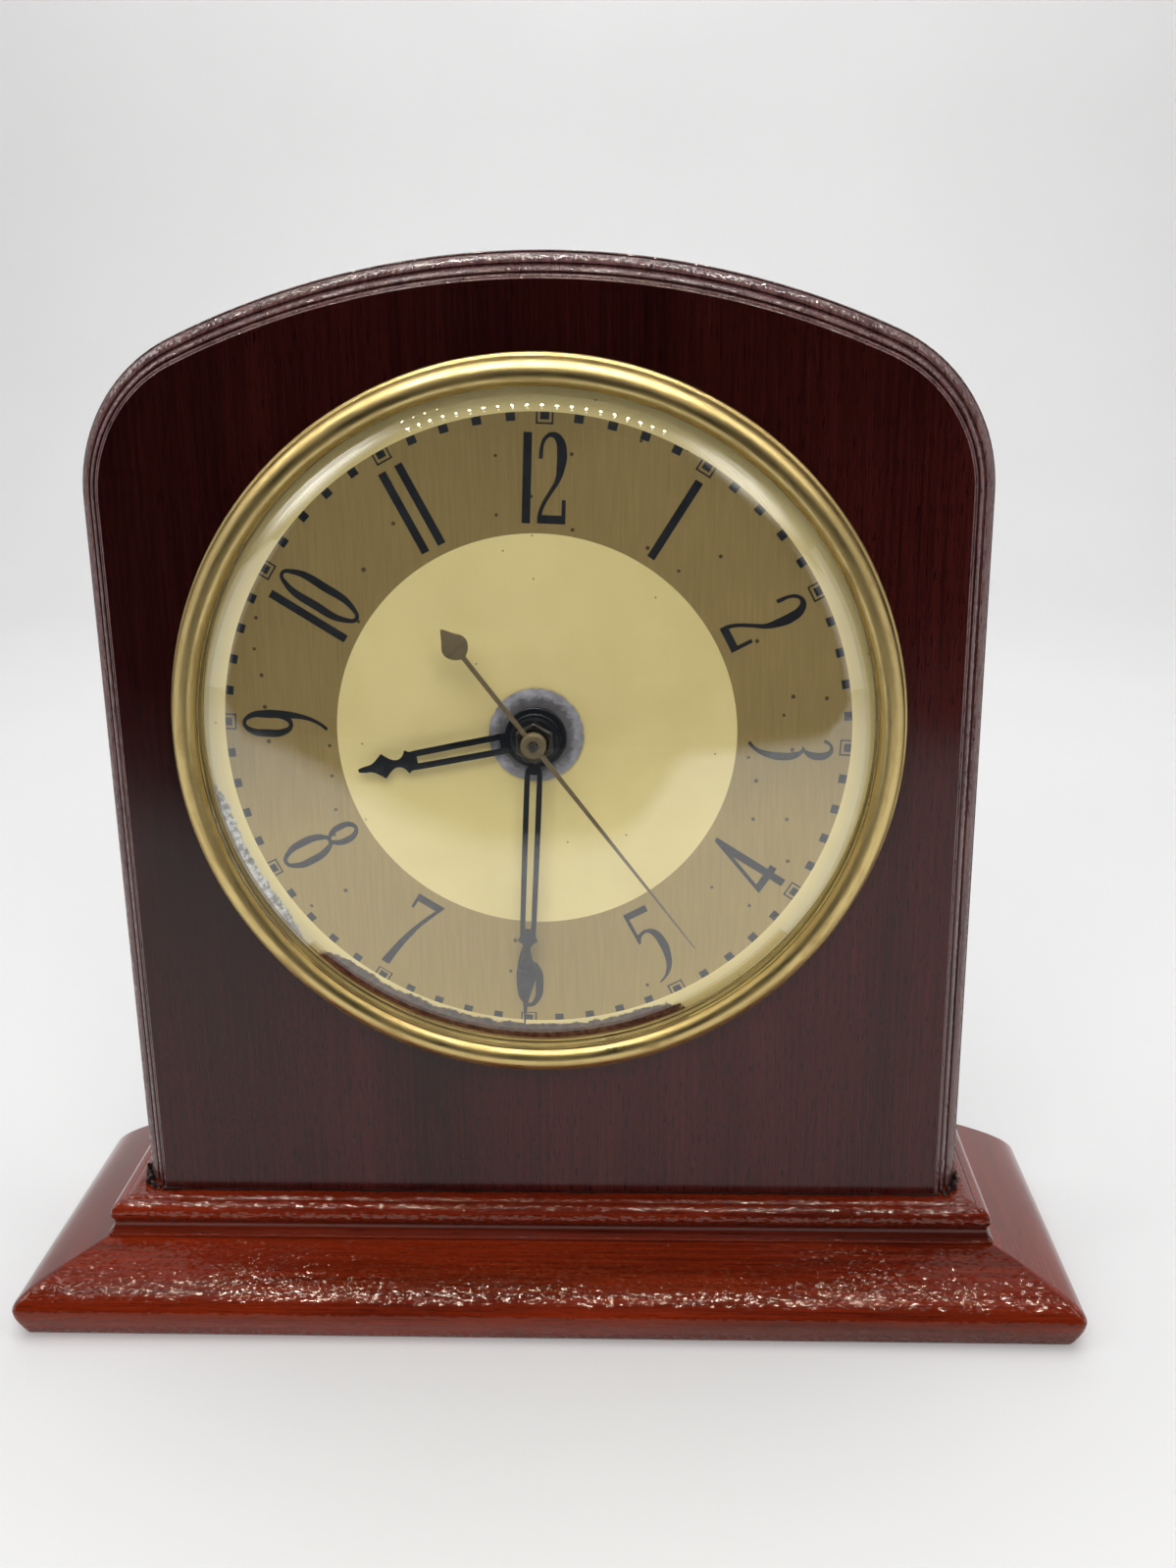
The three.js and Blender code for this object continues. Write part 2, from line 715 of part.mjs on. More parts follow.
function statorScrewPlaces() {
  const middle = statorBore + statorRingWidth / 2;
  return [180 - statorScrewBearing, statorScrewBearing].map((bearing) => polar(middle, bearing).add(rotorAt));
}

function backPlate() {
  const shape = plateShape();
  roundHole(shape, secondsArborRadius + runningGap, centreAt);
  statorScrewPlaces().forEach((at) => roundHole(shape, statorScrewRadius + seatGap, at));
  return slab(shape, backPlateFront, backPlateBack);
}

function pillar() {
  return turned([
    [0, frontPlateFront], [pillarPivotRadius, frontPlateFront], [pillarPivotRadius, frontPlateBack + seatGap],
    [pillarRadius, frontPlateBack + seatGap], [pillarRadius, backPlateFront - seatGap],
    [pillarPivotRadius, backPlateFront - seatGap], [pillarPivotRadius, backPlateBack], [0, backPlateBack],
  ], shaftSides);
}

// An arbor that runs between the plates, with its pinion cut on it
function arbor(pinion, level) {
  return join(rod(arborRadius, frontPlateFront, backPlateBack), pinionAt(pinion, level));
}

// Motor
const rotorRadius = tipRadius(rotorPoles, rotorModule);
const statorBore = rotorRadius + airGap;
const statorRadius = statorBore + statorRingWidth;
const statorScrewBearing = 45;
const coilCoreReach = statorRadius - statorArmWidth;
const coilDrop = statorRadius + coilGap + bobbinFlangeHeight / 2;
const coilAt = new THREE.Vector2(rotorAt.x, rotorAt.y - coilDrop);

function statorCore() {
  const shape = new THREE.Shape();
  const foot = -(coilDrop + coilCoreHeight / 2);
  const armTurn = Math.acos(coilCoreReach / statorRadius);
  shape.moveTo(statorRadius, foot);
  shape.lineTo(statorRadius, 0);
  shape.absarc(0, 0, statorRadius, 0, Math.PI);
  shape.lineTo(-statorRadius, foot);
  shape.lineTo(-coilCoreReach, foot);
  shape.absarc(0, 0, statorRadius, Math.PI + armTurn, 2 * Math.PI - armTurn);
  shape.lineTo(coilCoreReach, foot);
  shape.holes.push(new THREE.Path(circle(statorBore, ringSides)));
  statorScrewPlaces().forEach((at) => roundHole(shape, statorScrewRadius + seatGap, at.sub(rotorAt)));
  return slab(shape, statorFront, statorBack);
}

function boxAt(width, depth, height) {
  return new THREE.BoxGeometry(width, depth, height).translate(0, motorMiddle, 0);
}

function coilBobbin() {
  const length = 2 * (coilCoreReach - seatGap);
  const flangeAcross = (length - bobbinFlangeThickness) / 2;
  const wall = 2 * (seatGap + bobbinWall);
  const spool = boxAt(length, statorThickness + wall, coilCoreHeight + wall);
  const flanges = [-1, 1].map((side) => boxAt(bobbinFlangeThickness, bobbinFlangeDepth, bobbinFlangeHeight)
    .translate(side * flangeAcross, 0, 0));
  const window = boxAt(2 * length, statorThickness + 2 * seatGap, coilCoreHeight + 2 * seatGap);
  return cut(join(spool, ...flanges), [window]);
}

function coilWinding() {
  const length = 2 * (coilCoreReach - seatGap - bobbinFlangeThickness - seatGap);
  const height = coilCoreHeight + bobbinWindowGrowth;
  return cut(
    boxAt(length, windingDepth, height + 2 * windingThickness),
    [boxAt(2 * length, statorThickness + bobbinWindowGrowth, height)],
  );
}

// A knob with a boss towards the cover and a blind socket for its shaft
function knob(radius, shaft) {
  const front = coverBack + knobStandoff;
  const face = front + knobBossLength;
  const back = face + knobLength;
  const socket = front + knobSocketDepth;
  return turned([
    [shaft + seatGap, front], [knobBossRadius, front], [knobBossRadius, face], [radius - knobEdge, face],
    [radius, face + knobEdge], [radius, back - knobEdge], [radius - knobEdge, back], [0, back],
    [0, socket + seatGap], [shaft + seatGap, socket + seatGap], [shaft + seatGap, front],
  ], knobSides);
}

const knobSocketEnd = coverBack + knobStandoff + knobSocketDepth;
const shaftHoleRadius = (shaft) => shaft + freeGap;

const minuteHandLength = bezelLipRadius - minuteTipMargin;
const secondsHandLength = bezelLipRadius - secondsTipMargin;
const fromTip = (length, points) => points.map(([back, width]) => [length - back, width]);

// Half outlines of the hands as [reach, half width], from the hub to the tip
const hourHandOutline = [
  [hourHubRadius + 1.1, 1.9],
  ...fromTip(hourHandLength, [
    [10.1, 1.7], [9.1, 2.1], [8.1, 0.7], [6.7, 0.7], [4.7, 2.3], [2.7, 0.8], [0, 0.15],
  ]),
];
const hourHandSlot = [[hourHubRadius + 2.1, 0.8], [hourHandLength - 10.9, 0.65]];
const minuteHandOutline = [
  [minuteHubRadius + 1.2, 0.9], [minuteHubRadius + 2.8, 0.9], [minuteHubRadius + 4.2, 1.55],
  ...fromTip(minuteHandLength, [
    [18.6, 1.4], [17.4, 1.75], [16.4, 0.6], [15.4, 0.6], [10.8, 1.9], [5.4, 0.5], [0, 0.12],
  ]),
];
const minuteHandSlot = [[minuteHubRadius + 5.2, 0.65], [minuteHandLength - 19.6, 0.55]];
const secondsHandOutline = [[secondsHubRadius, 0.45], [secondsHandLength, 0.12]];
const secondsTailOutline = [
  [secondsHubRadius, 0.4],
  ...fromTip(secondsTailLength, [[6, 0.4], [5.2, 1.7], [3.4, 2.5], [1.8, 1.7], [0, 0.15]]),
];

const mirrored = (half) => [
  ...half.map(([reach, width]) => new THREE.Vector2(reach, -width)),
  ...half.toReversed().map(([reach, width]) => new THREE.Vector2(reach, width)),
];

function blade(outline, slot, root, front, back) {
  const shape = new THREE.Shape(mirrored([[root, outline[0][1]], ...outline]));
  if (slot) {
    shape.holes.push(new THREE.Path(mirrored(slot)));
  }
  return slab(shape, front, back);
}

// A hand on its hub, turned clockwise from twelve; its blade lies inside the hub's thickness
function hand(lift, hubRadius, bore, angle, blades) {
  const back = dialFace - lift;
  const hub = tube(bore + seatGap, hubRadius, back - hubThickness, back, knobSides);
  const front = back - (hubThickness + handThickness) / 2;
  const pieces = blades.map(({ outline, slot, turn }) => blade(
    outline, slot, (bore + seatGap + hubRadius) / 2, front, front + handThickness,
  ).rotateY(turn));
  return join(hub, ...pieces).rotateY(THREE.MathUtils.degToRad(angle - 90));
}

function hexNut(bore, front, back) {
  const shape = new THREE.Shape(circle(minuteNutAcross / Math.sqrt(3), 6));
  roundHole(shape, bore, centreAt);
  return slab(shape, front, back);
}

const clock = new THREE.Group();
clock.position.y = -(baseFront + baseBack) / 2;
const movement = new THREE.Group();
movement.position.z = dialHeight;
clock.add(movement);

// Case
place(clock, 'base_board', baseBoard(), baseWood);
place(clock, 'plinth', plinthBoard(), baseWood);
place(clock, 'front_panel', frontPanel(), panelWood);
place(clock, 'arch_top', archTop(), caseWood);
for (const [side, word] of [[-1, 'left'], [1, 'right']]) {
  const wall = new THREE.Vector2(side * wallMiddle, 0);
  place(clock, `side_wall_${word}`, sideWall(side), caseWood);
  place(clock, `base_screw_${word}`, baseScrew().translate(0, baseScrewDepth, 0), steel, wall);
  for (const [height, level] of [[coverScrewLow, 'low'], [coverScrewHigh, 'high']]) {
    const seat = coverBack + seatGap;
    const tip = coverBack - coverScrewLength;
    const pin = screw(coverScrewRadius, coverScrewHead, coverScrewHeadHeight, seat, tip);
    place(clock, `cover_screw_${level}_${word}`, pin, brass, new THREE.Vector2(wall.x, height));
  }
}

// Back cover and cord inlet
const dialAxis = new THREE.Vector2(0, dialHeight);
const grommetAt = new THREE.Vector2(grommetAcross, grommetHeight);
const coverScrewHoles = [-1, 1].flatMap((side) => [coverScrewLow, coverScrewHigh].map((height) => ({
  at: new THREE.Vector2(side * wallMiddle, height), radius: coverScrewRadius + seatGap,
})));
place(clock, 'back_cover', backCover([
  { at: rotorAt.clone().add(dialAxis), radius: shaftHoleRadius(rotorShaftRadius) },
  { at: setAt.clone().add(dialAxis), radius: shaftHoleRadius(setArborRadius) },
  { at: grommetAt, radius: grommetNeckRadius + seatGap, sides: knobSides },
  ...coverScrewHoles,
]), coverPaint);
place(clock, 'cord_grommet', grommet(), blackRubber, grommetAt);

// Dial group
place(movement, 'bezel_ring', bezelRing(), brass);
place(movement, 'glass_dome', glassDome(), clearGlass);
const dialPlate = tube(dialHoleRadius, bezelBore - seatGap, dialFace, -seatGap, ringSides);
place(movement, 'dial_plate', dialPlate, dialPaint);
const washerBack = dialFace - seatGap;
place(movement, 'dial_washer', tube(
  dialHoleRadius + seatGap, dialWasherRadius, washerBack - dialWasherThickness, washerBack, knobSides,
), greyFibre);

// Movement frame
place(movement, 'front_plate', frontPlate(), brass);
place(movement, 'back_plate', backPlate(), brass);
const cornerNames = ['low_left', 'low_right', 'high_left', 'high_right'];
pillarPlaces().forEach((at, i) => place(movement, `pillar_${cornerNames[i]}`, pillar(), brass, at));
movementScrewPlaces().forEach((at, i) => place(movement, `movement_screw_${cornerNames[i]}`, screw(
  movementScrewRadius, movementScrewHead, movementScrewHeadHeight, frontPlateBack + seatGap,
  panelThickness - movementScrewBite,
), steel, at));
const minutePost = rod(minutePostRadius, hourWheelDepth - freeGap, frontPlateBack);
place(movement, 'minute_post', minutePost, steel, minuteAt);

// Motor
place(movement, 'stator_core', statorCore(), magnetSteel, rotorAt);
const coilCoreLength = 2 * (coilCoreReach - seatGap);
place(movement, 'coil_core', boxAt(coilCoreLength, statorThickness, coilCoreHeight), magnetSteel, coilAt);
place(movement, 'coil_bobbin', coilBobbin(), fibre, coilAt);
place(movement, 'coil_winding', coilWinding(), copper, coilAt);
statorScrewPlaces().forEach((at, i) => {
  const word = ['left', 'right'][i];
  const spacerBore = statorScrewRadius + seatGap;
  const spacerFront = backPlateBack + seatGap;
  const spacer = tube(spacerBore, statorSpacerRadius, spacerFront, statorFront - seatGap, shaftSides);
  place(movement, `stator_spacer_${word}`, spacer, brass, at);
  place(movement, `stator_screw_${word}`, screw(
    statorScrewRadius, statorScrewHead, statorScrewHeadHeight, statorBack + seatGap, backPlateFront,
  ), steel, at);
});
place(movement, 'rotor_shaft', join(
  rod(rotorShaftRadius, frontPlateFront, knobSocketEnd), pinionAt(rotorPinion, firstLevel)), steel, rotorAt);
place(movement, 'rotor', gear(
  { teeth: rotorPoles, module: rotorModule, angle: 0 },
  motorMiddle - rotorThickness / 2, motorMiddle + rotorThickness / 2, rotorShaftRadius + seatGap,
), magnetSteel, rotorAt);
place(movement, 'start_knob', knob(startKnobRadius, rotorShaftRadius), blackMoulding, rotorAt);

// Running train
const wheelBore = arborRadius + seatGap;
place(movement, 'first_arbor', arbor(firstPinion, secondLevel), steel, firstAt);
place(movement, 'first_wheel', wheelAt(firstWheel, firstLevel, wheelBore), brass, firstAt);
place(movement, 'second_arbor', arbor(secondPinion, secondsLevel), steel, secondAt);
place(movement, 'second_wheel', wheelAt(secondWheel, secondLevel, wheelBore), brass, secondAt);
place(movement, 'third_arbor', arbor(thirdPinion, centreLevel), steel, thirdAt);
place(movement, 'third_wheel', wheelAt(thirdWheel, thirdLevel, wheelBore), brass, thirdAt);
const secondsHubFront = dialFace - secondsHandLift - hubThickness;
place(movement, 'seconds_arbor', join(
  rod(secondsArborRadius, secondsHubFront - secondsArborTip, backPlateBack),
  pinionAt(secondsPinion, thirdLevel),
), steel, centreAt);
const secondsWheelBore = secondsArborRadius + seatGap;
place(movement, 'seconds_wheel', wheelAt(secondsWheel, secondsLevel, secondsWheelBore), brass, centreAt);

// Centre wheel on its tube, which drives the cannon pinion through the clutch spring
const cannonBack = minuteWheelDepth + wheelThickness + freeGap;
const clutchFront = cannonBack + seatGap;
const centreTubeFront = hourWheelDepth;
place(movement, 'centre_wheel', join(
  wheelAt(centreWheel, centreLevel, centreTubeBore),
  tube(centreTubeBore, centreTubeRadius, centreTubeFront, levelDepth(centreLevel), shaftSides),
), brass, centreAt);
place(movement, 'clutch_spring', tube(
  centreTubeRadius + seatGap, clutchRadius, clutchFront, clutchFront + clutchThickness, knobSides,
), steel, centreAt);

// Motion work
const minuteHubFront = dialFace - minuteHandLift - hubThickness;
const cannonFront = minuteHubFront - seatGap - minuteNutThickness;
place(movement, 'cannon_pinion', join(
  tube(cannonBore, cannonRadius, cannonFront, cannonBack, shaftSides),
  gear(cannonPinion, minuteWheelDepth, minuteWheelDepth + wheelThickness, cannonBore),
), steel, centreAt);
place(movement, 'minute_wheel', join(
  gear(minuteWheel, minuteWheelDepth, minuteWheelDepth + wheelThickness, minutePostRadius + runningGap),
  gear(minutePinion, hourWheelDepth, minuteWheelDepth, minutePostRadius + runningGap),
), brass, minuteAt);
const hourPipeFront = dialFace - hourHandLift - hubThickness;
const hourWheelBack = hourWheelDepth + wheelThickness;
place(movement, 'hour_wheel', join(
  gear(hourWheel, hourWheelDepth, hourWheelBack, hourPipeBore),
  tube(hourPipeBore, hourPipeRadius, hourPipeFront, hourWheelBack, shaftSides),
), brass, centreAt);
place(movement, 'set_arbor', join(
  rod(setArborRadius, minuteWheelDepth, knobSocketEnd),
  gear(setPinion, minuteWheelDepth, minuteWheelDepth + wheelThickness),
), steel, setAt);
place(movement, 'set_knob', knob(setKnobRadius, setArborRadius), blackMoulding, setAt);

// Hands
place(movement, 'hour_hand', hand(hourHandLift, hourHubRadius, hourPipeRadius, hourHandAngle, [
  { outline: hourHandOutline, slot: hourHandSlot, turn: 0 },
]), bluedSteel);
place(movement, 'minute_hand', hand(minuteHandLift, minuteHubRadius, cannonRadius, minuteHandAngle, [
  { outline: minuteHandOutline, slot: minuteHandSlot, turn: 0 },
]), bluedSteel);
place(movement, 'minute_nut', hexNut(cannonRadius + seatGap, cannonFront, minuteHubFront - seatGap), steel);
place(movement, 'seconds_hand', hand(secondsHandLift, secondsHubRadius, secondsArborRadius, secondsHandAngle, [
  { outline: secondsHandOutline, turn: 0 },
  { outline: secondsTailOutline, turn: Math.PI },
]), brass);

export default clock;
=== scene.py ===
"""Looks of a round-topped electric mantel clock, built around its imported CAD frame."""

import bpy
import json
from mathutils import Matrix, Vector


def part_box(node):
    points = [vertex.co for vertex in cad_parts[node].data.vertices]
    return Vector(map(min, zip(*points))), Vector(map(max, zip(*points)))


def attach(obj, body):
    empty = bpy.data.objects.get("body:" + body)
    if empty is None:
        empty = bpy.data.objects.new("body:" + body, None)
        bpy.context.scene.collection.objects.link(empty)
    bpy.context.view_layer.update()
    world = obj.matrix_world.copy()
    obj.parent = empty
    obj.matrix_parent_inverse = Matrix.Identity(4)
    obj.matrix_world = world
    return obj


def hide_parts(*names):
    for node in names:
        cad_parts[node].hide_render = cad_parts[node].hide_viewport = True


bl_info = {
    "name": "Mantel clock looks",
    "version": (1, 0, 0),
    "blender": (4, 5, 0),
    "location": "View3D > Sidebar > Clock",
    "description": "Builds the visible pieces of an electric mantel clock around its CAD frame",
    "category": "Object",
}

import json
import math

import bmesh
import bpy
from bpy.props import FloatProperty, FloatVectorProperty, PointerProperty
from mathutils import Matrix, Vector, noise

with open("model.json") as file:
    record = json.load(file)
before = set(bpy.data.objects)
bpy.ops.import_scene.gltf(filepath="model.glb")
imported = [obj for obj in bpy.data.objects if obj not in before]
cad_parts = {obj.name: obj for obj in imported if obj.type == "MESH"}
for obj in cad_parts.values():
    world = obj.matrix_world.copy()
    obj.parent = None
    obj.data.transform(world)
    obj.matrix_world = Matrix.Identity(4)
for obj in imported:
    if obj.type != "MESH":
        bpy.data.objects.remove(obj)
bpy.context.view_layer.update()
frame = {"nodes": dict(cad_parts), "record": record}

MM = 0.001
PANEL_LOW, PANEL_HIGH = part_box("front_panel")
PANEL_FACE = PANEL_LOW.y
DIAL_LOW, DIAL_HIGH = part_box("dial_plate")
DIAL_FACE = DIAL_LOW.y
AXIS = Vector((0, 0, (DIAL_LOW.z + DIAL_HIGH.z) / 2))
INK_THICKNESS = 0.03 * MM
MADE_FINISHES = {}


def length(name, description, default):
    """A length that a user may change."""
    return FloatProperty(name=name, description=description, default=default, unit="LENGTH", precision=4)


def turning(name, description, degrees):
    """An angle that a user may change."""
    return FloatProperty(name=name, description=description, default=math.radians(degrees), subtype="ANGLE")


def tint(name, description, default):
    """A colour that a user may change."""
    return FloatVectorProperty(
        name=name, description=description, default=default, subtype="COLOR", size=3, min=0, max=1
    )


class CaseSettings(bpy.types.PropertyGroup):
    """Sizes and woods of the case."""

    arch_radius: length("Arch radius", "Radius of the case's round top", 152 * MM)
    shoulder_radius: length("Shoulder radius", "Radius of the two shoulders", 30 * MM)
    wall: length("Wall", "Thickness of the case's walls", 8 * MM)
    opening: length("Opening", "Radius of the opening behind the dial", 32 * MM)
    panel_dark: tint("Panel, dark", "Dark streaks of the front panel", (0.008, 0.0009, 0.0009))
    panel_light: tint("Panel, light", "Light streaks of the front panel", (0.033, 0.0048, 0.0038))
    # The edge colours are lightened as painted sheen: the pinkish haze of light on the reeds
    edge_dark: tint("Edge, dark", "Dark grain of the panel's rubbed edge", (0.045, 0.016, 0.016))
    edge_light: tint("Edge, light", "Light grain of the panel's rubbed edge", (0.2, 0.1, 0.092))
    base_dark: tint("Base, dark", "Dark streaks of the base and plinth", (0.055, 0.0055, 0.0022))
    base_light: tint("Base, light", "Light streaks of the base and plinth", (0.25, 0.023, 0.0045))


class DialSettings(bpy.types.PropertyGroup):
    """Sizes and colours of the dial."""

    disc_radius: length("Disc radius", "Radius of the cream disc", 35.7 * MM)
    ring_radius: length("Ring radius", "Outer radius of the bronze chapter ring", 56 * MM)
    numeral_radius: length("Numeral radius", "Radius of the numerals' middles", 45 * MM)
    turn: turning("Turn", "How far the dial sits turned in its bezel", 2.7)
    cream: tint("Cream", "Lacquer of the disc and of the outer ring", (0.84, 0.69, 0.325))
    bronze: tint("Bronze", "Satin paint of the chapter ring", (0.365, 0.262, 0.103))
    ink: tint("Ink", "Printed numerals and squares", (0.012, 0.014, 0.02))


class StageSettings(bpy.types.PropertyGroup):
    """Floor, light and camera."""

    floor_colour: tint("Floor", "Colour of the floor and the backdrop", (0.87, 0.87, 0.865))
    floor_front: length("Floor front", "How far the floor reaches in front of the panel", 0.45)
    camera_place: FloatVectorProperty(
        name="Camera", description="Where the camera stands", default=(0.01973, -0.28029, 0.18374), subtype="XYZ"
    )
    camera_pitch: turning("Pitch", "How far the camera looks down", 16.5)
    camera_yaw: turning("Yaw", "How far the camera looks to the right", -2.27)
    camera_roll: turning("Roll", "How far the camera leans", -0.74)
    camera_lens: FloatProperty(
        name="Lens", description="Focal length on a 36 mm long side", default=35.617, unit="CAMERA"
    )


# Node helpers

MIX_SHARE, MIX_FIRST, MIX_SECOND, MIX_RESULT = 0, 6, 7, 2


def fill(tree, made, sockets):
    """Sets a node's sockets to values or links them to other sockets; None leaves a socket as it is."""
    for key, value in sockets.items():
        if isinstance(value, bpy.types.NodeSocket):
            tree.links.new(value, made.inputs[key])
        elif value is not None:
            made.inputs[key].default_value = value


def node(tree, kind, sockets=None, **settings):
    """Adds a shader node with its settings and its sockets."""
    made = tree.nodes.new("ShaderNode" + kind)
    for key, value in settings.items():
        setattr(made, key, value)
    fill(tree, made, sockets or {})
    return made


def ranged(tree, value, low, high, to_low=0.0, to_high=1.0, kind="LINEAR"):
    """A value mapped from one range to another, held at its ends."""
    sockets = {"Value": value, "From Min": low, "From Max": high, "To Min": to_low, "To Max": to_high}
    return node(tree, "MapRange", sockets, interpolation_type=kind).outputs["Result"]


def math_node(tree, operation, first, second=None):
    """One arithmetic step."""
    return node(tree, "Math", {0: first, 1: second}, operation=operation).outputs[0]


def scaled(tree, value, share):
    """A value times a share."""
    return math_node(tree, "MULTIPLY", value, share)


def weighed(tree, first, first_share, second, second_share):
    """Two values added, each by its share."""
    return math_node(tree, "ADD", scaled(tree, first, first_share), scaled(tree, second, second_share))


def blend_colour(tree, share, first, second):
    """Two colours mixed by a share."""
    sockets = {MIX_SHARE: share}
    for index, colour in ((MIX_FIRST, first), (MIX_SECOND, second)):
        sockets[index] = colour if isinstance(colour, bpy.types.NodeSocket) else (*colour[:3], 1)
    return node(tree, "Mix", sockets, data_type="RGBA").outputs[MIX_RESULT]


def vector_math(tree, operation, first, second=None):
    """One step of vector arithmetic."""
    return node(tree, "VectorMath", {0: first, 1: second}, operation=operation).outputs


def stretched(tree, vector, scale):
    """A vector with its parts scaled apart."""
    return vector_math(tree, "MULTIPLY", vector, scale)[0]


def parts_of(tree, vector):
    """A vector's parts, by the names X, Y and Z."""
    return node(tree, "SeparateXYZ", {"Vector": vector}).outputs


def reach_of(tree, vector):
    """How far a place lies from the Y axis."""
    return vector_math(tree, "LENGTH", stretched(tree, vector, (1, 0, 1)))["Value"]


def noise_value(tree, vector, scale, detail, roughness, distortion=0.0):
    """A noise value between nought and one."""
    sockets = {
        "Vector": vector, "Scale": scale, "Detail": detail, "Roughness": roughness, "Distortion": distortion
    }
    return node(tree, "TexNoise", sockets).outputs["Fac"]


def drawn_noise(tree, vector, share, *values):
    """Noise drawn out along Z, where it changes by a share only."""
    return noise_value(tree, stretched(tree, vector, (1, 1, share)), *values)


def effect(name, inputs, outputs):
    """A shader node group with a vector and named values; gives its inputs and its output node too."""
    tree = bpy.data.node_groups.new(name, "ShaderNodeTree")
    add = tree.interface.new_socket
    add(name="Vector", in_out="INPUT", socket_type="NodeSocketVector")
    for socket, default in inputs.items():
        add(name=socket, in_out="INPUT", socket_type="NodeSocketFloat").default_value = default
    for socket in outputs:
        add(name=socket, in_out="OUTPUT", socket_type="NodeSocketFloat")
    return tree, tree.nodes.new("NodeGroupInput").outputs, tree.nodes.new("NodeGroupOutput")


def wood_grain():
    """Grain that runs along Z: broad figure, fine fibre, short dark pores and the glitter of cut fibres."""
    if "wood_grain" in bpy.data.node_groups:
        return bpy.data.node_groups["wood_grain"]
    tree, source, result = effect("wood_grain", {"Figure Scale": 60.0}, ("Figure", "Fibre", "Pores", "Glitter"))
    vector = source["Vector"]
    fill(tree, result, {
        "Figure": drawn_noise(tree, vector, 0.1, source["Figure Scale"], 4, 0.55, 0.4),
        "Fibre": drawn_noise(tree, vector, 0.02, 1300, 4, 0.7),
        "Pores": ranged(tree, drawn_noise(tree, vector, 0.07, 3800, 1, 0.5), 0.58, 0.7),
        "Glitter": drawn_noise(tree, vector, 0.4, 2000, 3, 0.75),
    })
    return tree


def surface_marks():
    """Handling marks: soft smudges, fine grain and sparse specks."""
    if "surface_marks" in bpy.data.node_groups:
        return bpy.data.node_groups["surface_marks"]
    tree, source, result = effect(
        "surface_marks",
        {"Smudge Scale": 40.0, "Speck Scale": 250.0, "Speck Size": 0.12, "Speck Share": 0.25},
        ("Smudge", "Grain", "Specks"),
    )
    vector = source["Vector"]
    parts = parts_of(tree, vector)
    plane = node(tree, "CombineXYZ", {"X": parts["X"], "Y": parts["Z"]}).outputs[0]
    sockets = {"Vector": plane, "Scale": source["Speck Scale"]}
    cells = node(tree, "TexVoronoi", sockets, voronoi_dimensions="2D").outputs
    chance = node(tree, "SeparateColor", {"Color": cells["Color"]}).outputs[0]
    kept = math_node(tree, "LESS_THAN", chance, source["Speck Share"])
    size = scaled(tree, source["Speck Size"], math_node(tree, "ADD", chance, 0.6))
    fill(tree, result, {
        "Smudge": noise_value(tree, vector, source["Smudge Scale"], 4, 0.6, 0.3),
        "Grain": noise_value(tree, vector, 2600, 2, 0.6),
        "Specks": scaled(tree, kept, math_node(tree, "LESS_THAN", cells["Distance"], size)),
    })
    return tree


def turned_lines():
    """Fine rings and long stains of a turned face about the Y axis."""
    if "turned_lines" in bpy.data.node_groups:
        return bpy.data.node_groups["turned_lines"]
    tree, source, result = effect("turned_lines", {"Line Scale": 9000.0}, ("Lines", "Stains"))
    reach = reach_of(tree, source["Vector"])
    parts = parts_of(tree, source["Vector"])
    along = node(tree, "CombineXYZ", {"X": reach}).outputs[0]
    sockets = {"X": parts["X"], "Y": scaled(tree, reach, 14.0), "Z": parts["Z"]}
    ringed = node(tree, "CombineXYZ", sockets).outputs[0]
    fill(tree, result, {
        "Lines": noise_value(tree, along, source["Line Scale"], 3, 0.7),
        "Stains": noise_value(tree, ringed, 90, 4, 0.65),
    })
    return tree


def handled(tree, vector, smudge=None, speck_scale=None, speck_size=None, speck_share=None):
    """Handling marks placed in a finish, with its own sizes."""
    return node(tree, "Group", {
        "Vector": vector, "Smudge Scale": smudge, "Speck Scale": speck_scale, "Speck Size": speck_size,
        "Speck Share": speck_share,
    }, node_tree=surface_marks()).outputs


def object_vector(tree, centre=(0, 0, 0), turn=(0, 0, 0)):
    """Object coordinates moved or turned so that a pattern sits on its piece."""
    place = node(tree, "TexCoord").outputs["Object"]
    sockets = {"Vector": place, "Location": tuple(-part for part in centre), "Rotation": turn}
    return node(tree, "Mapping", sockets).outputs[0]


def glints(tree, vector, spread):
    """Normals of small patches of varnish that each lean their own way."""
    sockets = {"Vector": stretched(tree, vector, (1, 1, 0.5)), "Scale": GLINT_SCALE}
    patches = node(tree, "TexVoronoi", sockets).outputs["Color"]
    lean = vector_math(tree, "SUBTRACT", patches, (0.5, 0.5, 0.5))[0]
    facing = node(tree, "NewGeometry").outputs["Normal"]
    leant = vector_math(tree, "ADD", facing, stretched(tree, lean, (spread,) * 3))[0]
    return vector_math(tree, "NORMALIZE", leant)[0]


def bump(tree, shader, height, strength, distance, normal=None):
    """Relief from a height value, on the plain normal or on a given one."""
    sockets = {"Height": height, "Strength": strength, "Distance": distance, "Normal": normal}
    fill(tree, shader, {"Normal": node(tree, "Bump", sockets).outputs[0]})


def shaded(colour, share):
    """A colour made darker or paler."""
    return tuple(part * share for part in colour)


# Finishes

GLINT_SCALE = 2500.0
GRAIN_TURNS = {"X": (0, math.pi / 2, 0), "Y": (math.pi / 2, 0, 0), "Z": (0, 0, 0)}
# Height less distance to the right, between which the panel's wood grows paler towards its foot and one side: painted
# reflection of the pale floor
SHEEN_TOP, SHEEN_FOOT = 145 * MM, 50 * MM
# Stretches of corrosion along the dial's rim, the dark first one partly painted shade inside the bezel's rim: the worst
# angle clockwise from twelve, the cosines at which it starts and is full, and the radii in millimetres at which it
# starts and is full
RUST_AND_SHADE, BLOOM = (189, 0.78, 0.87, 55.4, 58.6), (245, 0.945, 0.985, 56.8, 59.8)


